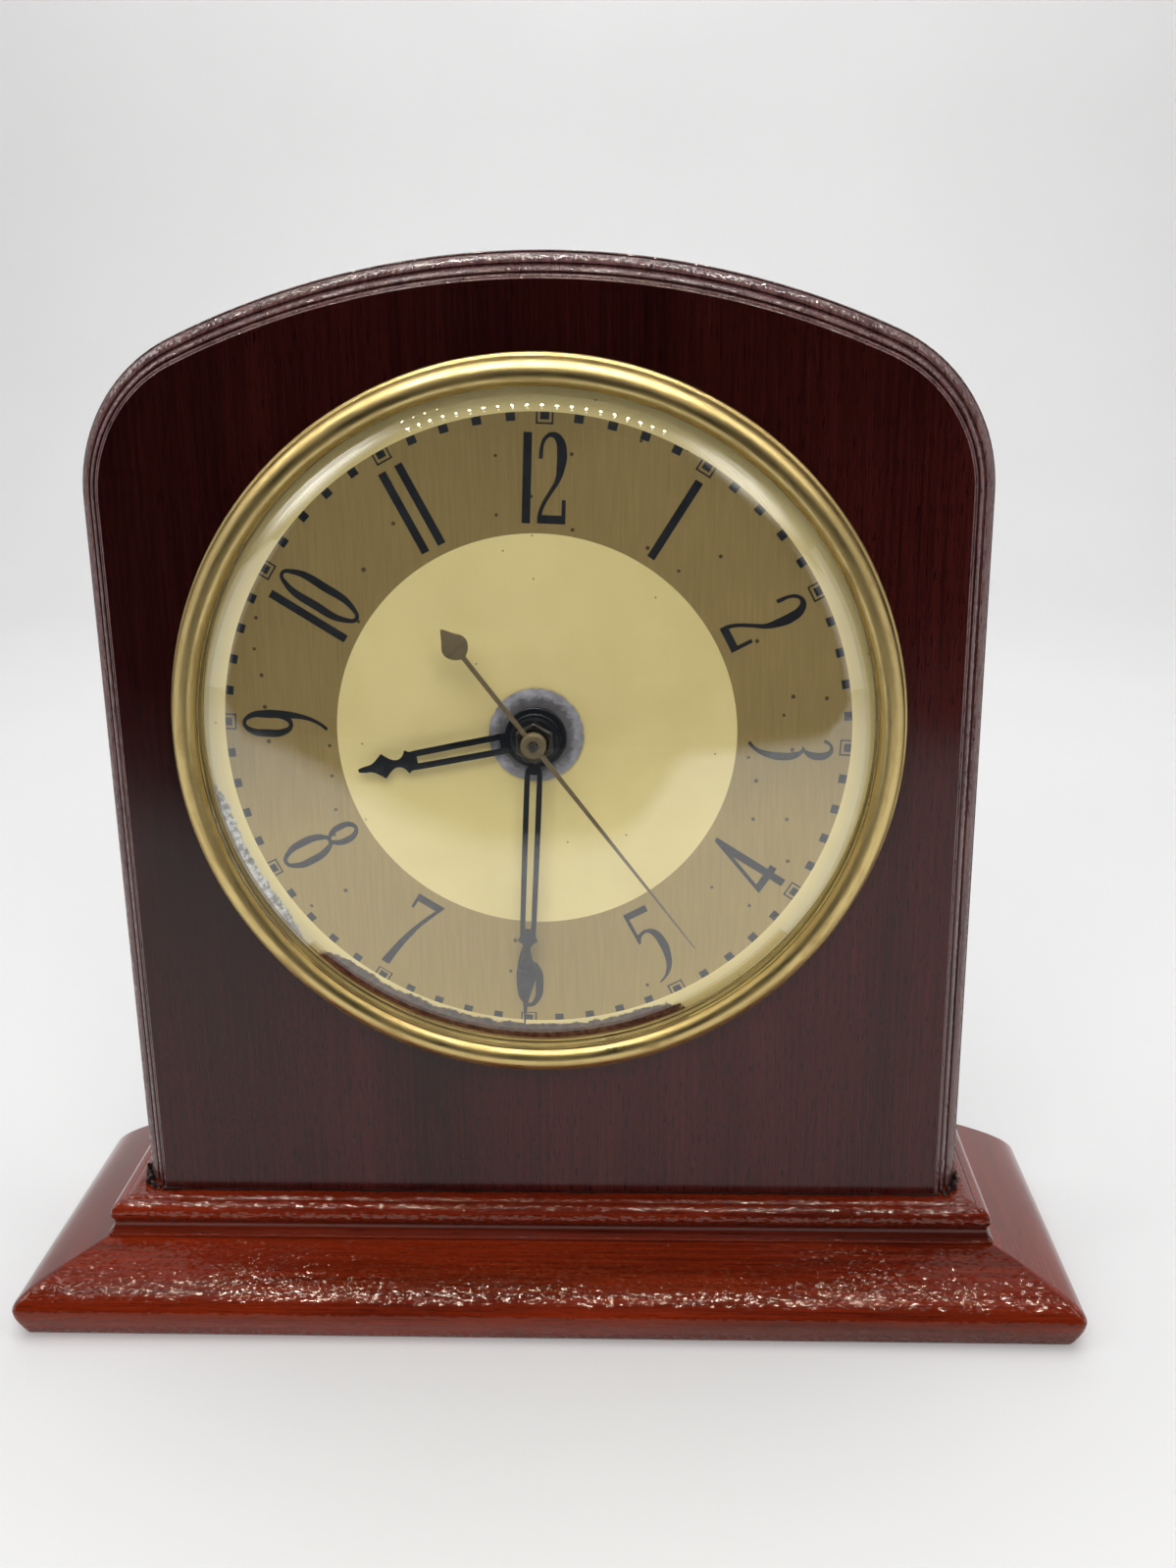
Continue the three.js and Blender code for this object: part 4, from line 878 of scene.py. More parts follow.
FOUR = [
    [(0.4, 7.35, 1), (1.2, 7.35, 1), (1.15, -3.65, 1), (2.05, -3.65, 1), (2.05, -5.05, 1), (1.12, -5.05, 1),
     (1.1, -7.75, 1), (-0.35, -7.75, 1), (-0.3, -5.05, 1), (-3.65, -4.95, 1)],
    [(-0.33, 2.85, 1), (-0.3, -3.6, 1), (-2.5, -3.6, 1)],
]
FIVE = [[
    (-2.3, 7.4, 1), (2.2, 7.4, 1), (2.2, 6.1, 1), (-1.65, 6.1, 1), (-1.65, 2.65, 1), (-0.9, 2.95), (0.1, 3.05),
    (1.65, 2.3), (2.55, -0.5), (2.15, -3.3), (0.9, -5.9), (-0.9, -7.25), (-2.2, -7.7, 1), (-2.2, -7.4, 1),
    (-0.9, -6.7), (0.3, -5.1), (0.85, -3.2), (1.0, -0.8), (0.8, 1.3), (0.3, 2.25), (-0.35, 2.4), (-1.15, 2.05),
    (-1.9, 0.95, 1), (-2.3, 0.95, 1),
]]
SEVEN = [[
    (-2.45, 7.6, 1), (3.1, 7.6, 1), (1.95, 4.5), (1.15, 2.2), (0.55, -0.6), (0.1, -3.8), (-0.15, -7.65, 1),
    (-1.8, -7.65, 1), (-1.4, -4.8), (-0.65, -1.0), (0.1, 1.6), (0.85, 3.7), (1.85, 6.2, 1), (-1.85, 6.2, 1),
    (-1.9, 4.6, 1), (-2.4, 4.6, 1),
]]
EIGHT = [
    [(0.1, 7.75), (1.45, 7.0), (2.1, 4.9), (1.65, 2.9), (1.0, 2.1, 1), (2.1, 0.4), (2.6, -2.9), (2.0, -6.1),
     (0.1, -7.8), (-1.8, -6.1), (-2.5, -2.9), (-2.0, 0.4), (-0.8, 2.1, 1), (-1.45, 2.9), (-1.85, 4.9), (-1.3, 7.0)],
    [(0.1, 7.05), (-0.5, 6.5), (-0.72, 4.8), (-0.5, 3.1), (0.05, 2.3), (0.65, 3.1), (0.9, 4.8), (0.7, 6.5)],
    [(0.1, 1.6), (-0.8, 0.2), (-1.1, -2.9), (-0.8, -6.0), (0.1, -7.1), (0.95, -6.0), (1.25, -2.9), (0.95, 0.2)],
]
NINE = [
    [(-0.15, 7.85), (1.55, 6.6), (2.4, 3.7), (2.45, 1.0), (2.05, -2.3), (1.3, -4.8), (0.25, -6.8), (-0.45, -7.65, 1),
     (-1.0, -7.4, 1), (-0.15, -6.3), (0.6, -4.7), (1.0, -2.9), (1.05, -1.05, 1), (0.45, -1.3), (-0.35, -1.4),
     (-1.75, -0.4), (-2.55, 3.2), (-1.9, 6.5)],
    [(-0.1, 7.05), (-0.85, 6.3), (-1.1, 3.2), (-0.85, 0.3), (-0.15, -0.65), (0.7, 0.2), (0.97, 3.2), (0.7, 6.3)],
]


def shifted(loops, across):
    """Outlines moved sideways."""
    return [[(spot[0] + across, *spot[1:]) for spot in loop] for loop in loops]


def upturned(loops):
    """Outlines turned by half a turn."""
    return [[(-spot[0], -spot[1], *spot[2:]) for spot in loop] for loop in loops]


NUMERALS = {
    1: shifted([BAR], 0.25), 2: TWO, 3: THREE, 4: FOUR, 5: FIVE, 6: upturned(NINE), 7: SEVEN, 8: EIGHT, 9: NINE,
    10: shifted([BAR], -3.25) + shifted(NOUGHT, 0.92), 11: shifted([BAR], -1.45) + shifted([BAR], 1.75),
    12: shifted([BAR], -2.77) + shifted(TWO, 1.15),
}
INWARD_TOPS = (4, 5, 6, 7, 8)


class CLOCK_OT_stage(bpy.types.Operator):
    """Pale floor with a sweep, soft lamps and the camera"""

    bl_idname = "clock.stage"
    bl_label = "Stage"

    # Half width, back, bend and top of the sweep
    SWEEP = (1.6, 0.75, 0.35, 1.5)
    # Name, place, turn about X and half sizes
    SCREENS = (
        ("screen_front", (0, -0.95, 0.9), math.pi / 2, (2.08, 1.3)),
        ("screen_top", (0, -0.3, 1.35), 0, (2.6, 0.65)),
    )
    # Name, place, aim, sizes and energy
    LAMPS = (
        ("lamp_left", (-0.62, -0.29, 0.60), (0, 0, 0.12), (0.14, 0.42), 0.55),
        ("lamp_right", (0.62, -0.29, 0.60), (0, 0, 0.12), (0.14, 0.42), 0.5),
        ("lamp_fill", (0, 0.15, 1.05), (0, 0.15, 0), (1.2, 0.9), 6.0),
        ("lamp_front", (0, -0.75, 0.75), (0, 0, 0.1), (0.9, 0.5), 6.0),
        ("lamp_back", (0, 0.45, 0.95), (0, 1.1, 0.55), (1.4, 0.3), 3.0),
    )
    # Name, place and the way its length runs
    CARDS = (
        ("card_left", (-0.70, 0.04, 0.74), (-0.25, -0.176, -0.275)),
        ("card_right", (0.65, -0.15, 0.78), (0.23, -0.31, -0.305)),
    )
    CARD_HALVES = (0.34, 0.3)
    # Depth, shift, radius and stretch of the two rows of small lamps
    ROWS = ((-0.1, 0.007, 0.0026, 2.2), (0.03, 0.0, 0.0021, 1.7))
    ROW_COUNT, ROW_STEP, ROW_START, ROW_HEIGHT = 20, 0.027, -0.283, 0.62

    def execute(self, context):
        stage = context.scene.clock_stage
        self.sweep(stage)
        self.screens()
        self.lamps()
        self.camera(context.scene, stage)
        self.surroundings(context.scene)
        return {"FINISHED"}

    def sweep(self, stage):
        """Floor that rises into a backdrop."""
        bm = bmesh.new()
        half, back, bend, top = self.SWEEP
        front = bm.verts.new((-half, PANEL_FACE - stage.floor_front, 0))
        level = bm.verts.new((-half, back, 0))
        bm.edges.new((front, level))
        made = bmesh.ops.spin(bm, geom=[level], cent=(-half, back, bend), axis=(1, 0, 0), angle=math.pi / 2, steps=24)
        last = verts_of(made["geom_last"])[0]
        bm.edges.new((last, bm.verts.new((-half, last.co.y, top))))
        swept = bmesh.ops.extrude_edge_only(bm, edges=bm.edges[:])["geom"]
        bmesh.ops.translate(bm, verts=verts_of(swept), vec=(2 * half, 0, 0))
        bmesh.ops.recalc_face_normals(bm, faces=bm.faces)
        stage_piece("sweep", bm, "pale_sweep")

    def screens(self):
        """Dark screen in front and grey screen above, which the varnish, the brass and the glass mirror."""
        for name, place, turn, halves in self.SCREENS:
            bm = bmesh.new()
            matrix = Matrix.Translation(place) @ Matrix.Rotation(turn, 4, "X") @ Matrix.Diagonal((*halves, 1, 1))
            bmesh.ops.create_grid(bm, x_segments=1, y_segments=1, size=1, matrix=matrix)
            made = stage_piece(name, bm, name)
            made.visible_camera = False
            made.visible_diffuse = made.visible_shadow = name == "screen_front"

    def lamps(self):
        """Soft lamps all round, two soft cards at the sides and rows of small lamps, which the glass mirrors."""
        for name, place, aim, size, energy in self.LAMPS:
            light = bpy.data.lights.new(name, "AREA")
            light.shape = "RECTANGLE"
            light.size, light.size_y = size
            light.energy = energy
            lamp = bpy.data.objects.new(name, light)
            lamp.visible_glossy = lamp.visible_transmission = False
            turn = (Vector(aim) - Vector(place)).to_track_quat("-Z", "Y")
            lamp.matrix_world = Matrix.Translation(place) @ turn.to_matrix().to_4x4()
            bpy.context.scene.collection.objects.link(lamp)
        for card in self.CARDS:
            self.card(*card)
        bm = bmesh.new()
        for row, shift, radius, stretch in self.ROWS:
            for step in range(self.ROW_COUNT):
                place = (step * self.ROW_STEP + self.ROW_START + shift, row, self.ROW_HEIGHT)
                matrix = Matrix.Translation(place) @ Matrix.Diagonal((1, stretch, 1, 1))
                bmesh.ops.create_circle(bm, cap_ends=True, segments=10, radius=radius, matrix=matrix)
        made = stage_piece("lamp_row", bm, "lamp_glow")
        made.visible_diffuse = False

    def card(self, name, place, along):
        """Soft card that only the glass and the polish see."""
        ray = (AXIS - Vector(place)).normalized()
        across = ray.cross(Vector(along)).normalized()
        along = across.cross(ray)
        bm = bmesh.new()
        spread = bm.verts.layers.float_vector.new("spread")
        verts = bmesh.ops.create_grid(bm, x_segments=1, y_segments=1, size=1)["verts"]
        for vert in verts:
            vert[spread] = vert.co
        half_length, half_width = self.CARD_HALVES
        matrix = Matrix((along * half_length, across * half_width, ray)).transposed().to_4x4()
        bmesh.ops.transform(bm, matrix=Matrix.Translation(place) @ matrix, verts=verts)
        made = stage_piece(name, bm, name)
        made.visible_camera = made.visible_diffuse = made.visible_shadow = False

    def camera(self, scene, stage):
        """Camera at the photograph's angle."""
        pitch, yaw, roll = stage.camera_pitch, stage.camera_yaw, stage.camera_roll
        ahead = Vector((math.sin(yaw) * math.cos(pitch), math.cos(yaw) * math.cos(pitch), -math.sin(pitch)))
        level = Vector((math.cos(yaw), -math.sin(yaw), 0))
        above = level.cross(ahead)
        right = math.cos(roll) * level + math.sin(roll) * above
        up = math.cos(roll) * above - math.sin(roll) * level
        data = bpy.data.cameras.new("camera")
        data.sensor_width = 36
        data.lens = stage.camera_lens
        data.clip_start = 0.01
        made = bpy.data.objects.new("camera", data)
        turn = Matrix((right, up, -ahead)).transposed().to_4x4()
        made.matrix_world = Matrix.Translation(stage.camera_place) @ turn
        scene.collection.objects.link(made)
        scene.camera = made
        scene.view_settings.view_transform = "Standard"

    def surroundings(self, scene):
        """Dim room light, with a pale background behind the clock."""
        world = bpy.data.worlds.new("room")
        world.use_nodes = True
        tree = world.node_tree
        path = node(tree, "LightPath").outputs
        mirrored = math_node(tree, "MAXIMUM", path["Is Glossy Ray"], path["Is Transmission Ray"])
        seen = math_node(tree, "MAXIMUM", path["Is Camera Ray"], mirrored)
        shade = blend_colour(tree, seen, (0.32, 0.32, 0.33), (0.66, 0.66, 0.67))
        fill(tree, tree.nodes["Background"], {"Color": shade})
        scene.world = world


class CLOCK_OT_panel(bpy.types.Operator):
    """Round-topped front panel with two reeds round its edge"""

    bl_idname = "clock.panel"
    bl_label = "Front panel"

    REEDS = [
        (0.0, 2.8), (0.04, 3.3), (0.14, 3.58), (0.28, 3.66), (0.36, 3.5), (0.46, 3.45), (0.52, 3.8), (0.55, 4.7),
        (0.62, 4.95), (0.85, 5.2), (1.1, 5.44), (1.4, 5.69), (1.65, 5.86), (1.9, 5.98), (2.1, 6.03), (2.24, 6.02),
        (2.32, 5.86), (2.44, 5.8), (2.54, 6.0), (2.6, 6.5), (2.7, 6.95), (2.85, 7.4), (3.0, 7.72), (3.12, 7.88),
        (3.26, 8.0), (3.4, 8.1), (3.6, 8.17), (3.85, 8.2), (3.94, 8.08), (4.04, 8.1), (4.1, 8.75), (4.2, 9.0),
        (4.3, 9.09), (4.42, 9.13), (4.5, 9.1), (4.58, 9.2), (4.66, 9.38), (4.74, 9.46), (4.84, 9.5),
    ]
    # How far the outline runs on below the cut, how near the axis the opening's wall lies, and how steeply the
    # foot looks down
    SPARE, NEAR, DOWN = 20 * MM, 40 * MM, -0.97

    def execute(self, context):
        bm = bmesh.new()
        moulded(bm, arch_face(bm, 0, PANEL_HIGH.y, PANEL_LOW.z - self.SPARE, True), self.REEDS)
        cut_flat(bm, (0, 0, PANEL_LOW.z), (0, 0, -1))
        bmesh.ops.recalc_face_normals(bm, faces=bm.faces)
        pierced(bm, [(0, AXIS.z, context.scene.clock_case.opening)])
        bm.normal_update()
        for face in bm.faces:
            if abs(face.normal.y) < FLAT and face.normal.z > self.DOWN:
                face.material_index = 0 if spoke_of(face.calc_center_median())[1] < self.NEAR else 1
        piece("panel", bm, ["panel_wood", "panel_edge"], ["front_panel"], crease=40)
        return {"FINISHED"}


class CLOCK_OT_walls(bpy.types.Operator):
    """Side walls and the bent top behind the panel"""

    bl_idname = "clock.walls"
    bl_label = "Case walls"

    # Edges that bend by more than this, in radians, are rounded
    CORNER = 1.0

    def execute(self, context):
        for side in ("left", "right"):
            low, high, middle = place_of(f"side_wall_{side}")
            bm = bmesh.new()
            block(bm, *(high - low), Matrix.Translation(middle))
            eased(bm, bm.edges[:])
            piece(f"wall_{side}", bm, ["case_wood"], [f"side_wall_{side}"])
        self.arch(context.scene.clock_case)
        return {"FINISHED"}

    def arch(self, case):
        """Bent top, with its grain laid along the bend."""
        low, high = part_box("arch_top")
        bm = bmesh.new()
        arch_line(bm, 0, low.y)
        outer = bm.edges[:]
        arch_line(bm, case.wall, low.y)
        inner = [edge for edge in bm.edges if edge not in outer]
        bridged(bm, [outer, inner])
        made = bmesh.ops.extrude_face_region(bm, geom=bm.faces[:], use_keep_orig=True)["geom"]
        bmesh.ops.translate(bm, verts=verts_of(made), vec=(0, high.y - low.y, 0))
        bmesh.ops.remove_doubles(bm, verts=bm.verts, dist=MERGE)
        run = bm.verts.layers.float_vector.new("run")
        centre = Vector((0, 0, high.z - case.arch_radius))
        for vert in bm.verts:
            spoke = Vector((vert.co.x, 0, vert.co.z)) - centre
            swing = math.atan2(spoke.x, spoke.z)
            vert[run] = (spoke.length, vert.co.y, swing * case.arch_radius)
        eased(bm, [edge for edge in bm.edges if edge.calc_face_angle(0) > self.CORNER])
        piece("arch", bm, ["arch_wood"], ["arch_top"])


class CLOCK_OT_base(bpy.types.Operator):
    """Moulded base board, plinth and the glue that shows round the panel's foot"""

    bl_idname = "clock.base"
    bl_label = "Base and plinth"

    BASE = [
        (2.3, 0.0, 0.8), (2.1, 0.1, 0.9), (1.85, 0.45, 1.0), (1.5, 1.1, 1.1), (1.05, 2.0, 1.3), (0.6, 3.0, 1.5),
        (0.25, 3.9, 1.7), (0.06, 4.7, 1.8), (0.0, 5.4, 1.8), (0.1, 6.0, 1.8), (0.38, 6.6, 1.7), (0.85, 7.15, 1.6),
        (1.4, 7.65, 1.5), (2.1, 8.15, 1.4), (3.0, 8.7, 1.3), (4.2, 9.3, 1.2), (5.8, 10.0, 1.1), (7.8, 10.75, 1.0),
        (10.0, 11.5, 0.9), (12.2, 12.2, 0.8), (14.0, 12.75, 0.7), (15.2, 13.1, 0.6),
    ]
    PLINTH = [
        (0.55, 13.3, 0.8), (0.55, 13.5, 0.8), (0.75, 13.68, 0.8), (1.1, 14.02, 0.8), (1.4, 14.45, 0.7),
        (1.6, 15.0, 0.7), (1.68, 15.55, 0.7), (1.62, 16.05, 0.7), (1.4, 16.4, 0.7), (1.2, 16.85, 0.7),
        (1.15, 17.45, 0.7), (1.3, 18.15, 0.7), (1.7, 18.8, 0.6), (2.3, 19.3, 0.6), (3.0, 19.55, 0.6),
        (3.55, 19.6, 0.5), (3.75, 19.5, 0.5), (4.0, 19.75, 0.5), (4.4, 19.95, 0.5), (5.0, 20.0, 0.4),
    ]
    # Heights of the plinth's hollow, and how deep the grain of the ends goes in
    COVE_LOW, COVE_HIGH, END_DEPTH = 13.6 * MM, 16.3 * MM, 17 * MM
    # Lumps of glue: across from the panel's side, back from its face, up from its foot, and radius
    LUMPS = (
        (-0.7, 2.4, 0.5, 0.8), (-1.9, 1.1, 0.2, 0.7), (-0.1, 4.2, 0.9, 0.7), (-0.3, 5.6, 0.3, 0.7),
        (-3.0, 0.4, 0.1, 0.5), (0.0, 4.9, 1.9, 0.5), (-0.2, 6.8, 0.2, 0.6),
    )
    # The glue's noise starts from this number, so that each run makes the same lumps
    GLUE_SEED = 1

    def execute(self, context):
        for node_name, name, steps, front_finish in (
            ("base_board", "base", self.BASE, "base_wood"), ("plinth", "plinth_board", self.PLINTH, "plinth_wood"),
        ):
            low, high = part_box(node_name)
            bm = bmesh.new()
            mitred(bm, high.x, low.y, high.y, steps)
            self.ends(bm, high.x, low.y)
            piece(name, bm, [front_finish, "base_wood_ends", "shaded_cove_wood"], [node_name], crease=50)
        self.glue()
        return {"FINISHED"}

    def glue(self):
        """Dark glue squeezed out along the panel's foot, with lumps at its corners."""
        bm = bmesh.new()
        side, foot = PANEL_HIGH.x, PANEL_LOW.z
        block(bm, 2 * (side - 4 * MM), 0.9 * MM, 0.5 * MM, Matrix.Translation((0, PANEL_FACE + 0.3 * MM, foot)))
        bmesh.ops.subdivide_edges(bm, edges=bm.edges[:], cuts=60, use_grid_fill=True)
        shape = Matrix.Diagonal((0.8, 1.0, 1.3, 1))
        for sign in (-1, 1):
            for across, depth, up, size in self.LUMPS:
                spot = (sign * (side + across * MM), PANEL_FACE + depth * MM, foot + up * MM)
                matrix = Matrix.Translation(spot) @ shape
                bmesh.ops.create_icosphere(bm, subdivisions=4, radius=size * MM, matrix=matrix)
        noise.seed_set(self.GLUE_SEED)
        for vert in bm.verts:
            rough = noise.noise_vector(vert.co * 900) * 0.45 + noise.noise_vector(vert.co * 2600) * 0.22
            vert.co += rough * MM * min(1, 4 * max(0, abs(vert.co.x) / side - 0.75) + 0.35)
            vert.co.z = max(vert.co.z, foot - 0.25 * MM)
        piece("glue_line", bm, ["glue"], crease=60)

    def ends(self, bm, half, front):
        """Gives the two ends their own run of grain, and the plinth's hollow a darker wood as painted shade."""
        for face in bm.faces:
            spot = face.calc_center_median()
            from_end = half - abs(spot.x)
            face.material_index = 1 if from_end < min(spot.y - front, self.END_DEPTH) else 0
            # The hollow's darker wood is painted shade
            if self.COVE_LOW < spot.z < self.COVE_HIGH:
                face.material_index = 2


class CLOCK_OT_bezel(bpy.types.Operator):
    """Brass bezel with a bead round its foot and a convex roll"""

    bl_idname = "clock.bezel"
    bl_label = "Bezel"

    PROFILE = [
        (63.2, 0.2), (63.2, 3.2), (61.4, 3.2), (60.95, 3.9), (60.52, 4.55), (60.5, 4.66), (60.56, 4.8), (60.75, 5.12),
        (61.0, 5.46), (61.3, 5.74), (61.65, 5.95), (62.0, 6.06), (62.4, 6.1), (62.8, 6.04), (63.2, 5.9), (63.6, 5.67),
        (64.0, 5.37), (64.4, 4.98), (64.72, 4.55), (64.98, 4.0), (65.14, 3.4), (65.24, 2.8), (65.3, 2.2), (65.33, 1.75),
        (65.42, 1.55), (65.58, 1.48), (65.76, 1.36), (65.9, 1.12), (65.98, 0.8), (66.0, 0.5), (66.0, 0.2),
    ]

    def execute(self, context):
        bm = bmesh.new()
        turned(bm, [(radius, PANEL_FACE / MM - out) for radius, out in self.PROFILE], steps=160)
        piece("bezel", bm, ["bezel_brass"], ["bezel_ring"], crease=45)
        return {"FINISHED"}


class CLOCK_OT_glass(bpy.types.Operator):
    """Domed glass held under the bezel's lip"""

    bl_idname = "clock.glass"
    bl_label = "Glass"

    CROWN, SHOULDER, THICKNESS, RIM_TILT, LIP, RIM = 300.0, 15.4, 1.6, 64.0, 61.3, 63.0

    def skin(self, inset, start, crown_tilt, rim_tilt, seat):
        """One face of the glass from its middle to its rim, as [radius, depth] points."""
        middle = seat + self.SHOULDER * math.cos(rim_tilt)
        centre = middle + (self.CROWN - self.SHOULDER) * math.cos(crown_tilt)
        crown, shoulder = self.CROWN - inset, self.SHOULDER - inset
        line = []
        for step in range(17):
            tilt = crown_tilt * step / 16
            line.append((crown * math.sin(tilt), centre - crown * math.cos(tilt)))
        for step in range(1, 15):
            tilt = crown_tilt + (rim_tilt - crown_tilt) * step / 14
            line.append((start + shoulder * math.sin(tilt), middle - shoulder * math.cos(tilt)))
        return line

    def execute(self, context):
        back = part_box("glass_dome")[1].y / MM
        seat = back - self.THICKNESS
        rim_tilt = math.radians(self.RIM_TILT)
        start = self.LIP - self.SHOULDER * math.sin(rim_tilt)
        crown_tilt = math.asin(start / (self.CROWN - self.SHOULDER))
        outer = self.skin(0, start, crown_tilt, rim_tilt, seat)
        inner = self.skin(self.THICKNESS, start, crown_tilt, rim_tilt, seat)
        profile = outer + [(self.RIM, seat), (self.RIM, back), (inner[-1][0], back)] + inner[::-1]
        bm = bmesh.new()
        turned(bm, profile, closed=False)
        piece("glass", bm, ["clear_glass"], ["glass_dome"], crease=50)
        return {"FINISHED"}


class CLOCK_OT_dial(bpy.types.Operator):
    """Dial with its cream disc and bronze ring, and the washer at its middle"""

    bl_idname = "clock.dial"
    bl_label = "Dial"

    # Radii of the dial's and the washer's holes, in millimetres
    HOLE, WASHER_HOLE = 4, 4.2

    def execute(self, context):
        self.plate(context.scene.clock_dial)
        self.washer()
        return {"FINISHED"}

    def plate(self, dial):
        """Painted plate with its three rings of colour."""
        rim, front, back = DIAL_HIGH.x / MM, DIAL_LOW.y / MM, DIAL_HIGH.y / MM
        rings = (self.HOLE, dial.disc_radius / MM, dial.ring_radius / MM, rim - 0.2)
        bm = bmesh.new()
        edge = [(rim, front + 0.2), (rim, back), (self.HOLE, back)]
        turned(bm, [(radius, front) for radius in rings] + edge)
        for face in bm.faces:
            spot, reach = spoke_of(face.calc_center_median())
            if reach > dial.ring_radius:
                face.material_index = 2
            elif reach > dial.disc_radius and spot.y < DIAL_FACE + 0.1 * MM:
                face.material_index = 1
        piece("dial", bm, ["dial_paint", "dial_bronze", "dial_edge"], ["dial_plate"])

    def washer(self):
        """Fibre washer with a ragged edge."""
        low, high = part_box("dial_washer")
        radius, front, back = high.x / MM, low.y / MM, high.y / MM
        bm = bmesh.new()
        edge = [(radius - 0.35, front), (radius, front + 0.15), (radius, back)]
        turned(bm, [(self.WASHER_HOLE, front), *edge, (self.WASHER_HOLE, back)], steps=160)
        for vert in bm.verts:
            spoke, reach = spoke_of(vert.co)
            if reach > 7 * MM:
                ragged = 1 + 0.035 * min(0, noise.noise(Vector((spoke.x, 0, spoke.z)) * 900))
                vert.co.x = AXIS.x + spoke.x * ragged
                vert.co.z = AXIS.z + spoke.z * ragged
        piece("washer", bm, ["grey_fibre"], ["dial_washer"])


class CLOCK_OT_print(bpy.types.Operator):
    """Numerals and minute squares printed on the dial"""

    bl_idname = "clock.print"
    bl_label = "Dial print"

    # Width, height, place across and place up of each printed block, in millimetres
    MINUTE_MARK = ((1.6, 1.35, 0, -0.675),)
    HOUR_MARK = (
        (1.5, 1.2, 0, -0.6), (2.95, 0.28, 0, -1.81), (0.28, 1.95, -1.335, -0.975), (0.28, 1.95, 1.335, -0.975),
    )

    def execute(self, context):
        dial = context.scene.clock_dial
        depth = DIAL_FACE - INK_THICKNESS / 2
        bm = bmesh.new()
        for hour, loops in NUMERALS.items():
            if hour in INWARD_TOPS:
                loops = upturned(loops)
            matrix = on_dial(math.radians(30 * hour) + dial.turn, dial.numeral_radius, depth)
            add_shape(bm, cut_shape(loops, INK_THICKNESS), matrix)
        piece("numerals", bm, ["dial_ink"])
        bm = bmesh.new()
        edge = dial.ring_radius - 0.05 * MM
        for minute in range(60):
            matrix = on_dial(math.radians(6 * minute) + dial.turn, edge, depth)
            for width, height, across, up in self.MINUTE_MARK if minute % 5 else self.HOUR_MARK:
                place = matrix @ Matrix.Translation((across * MM, up * MM, 0))
                block(bm, width * MM, height * MM, INK_THICKNESS, place)
        piece("minute_squares", bm, ["dial_ink"])
        return {"FINISHED"}


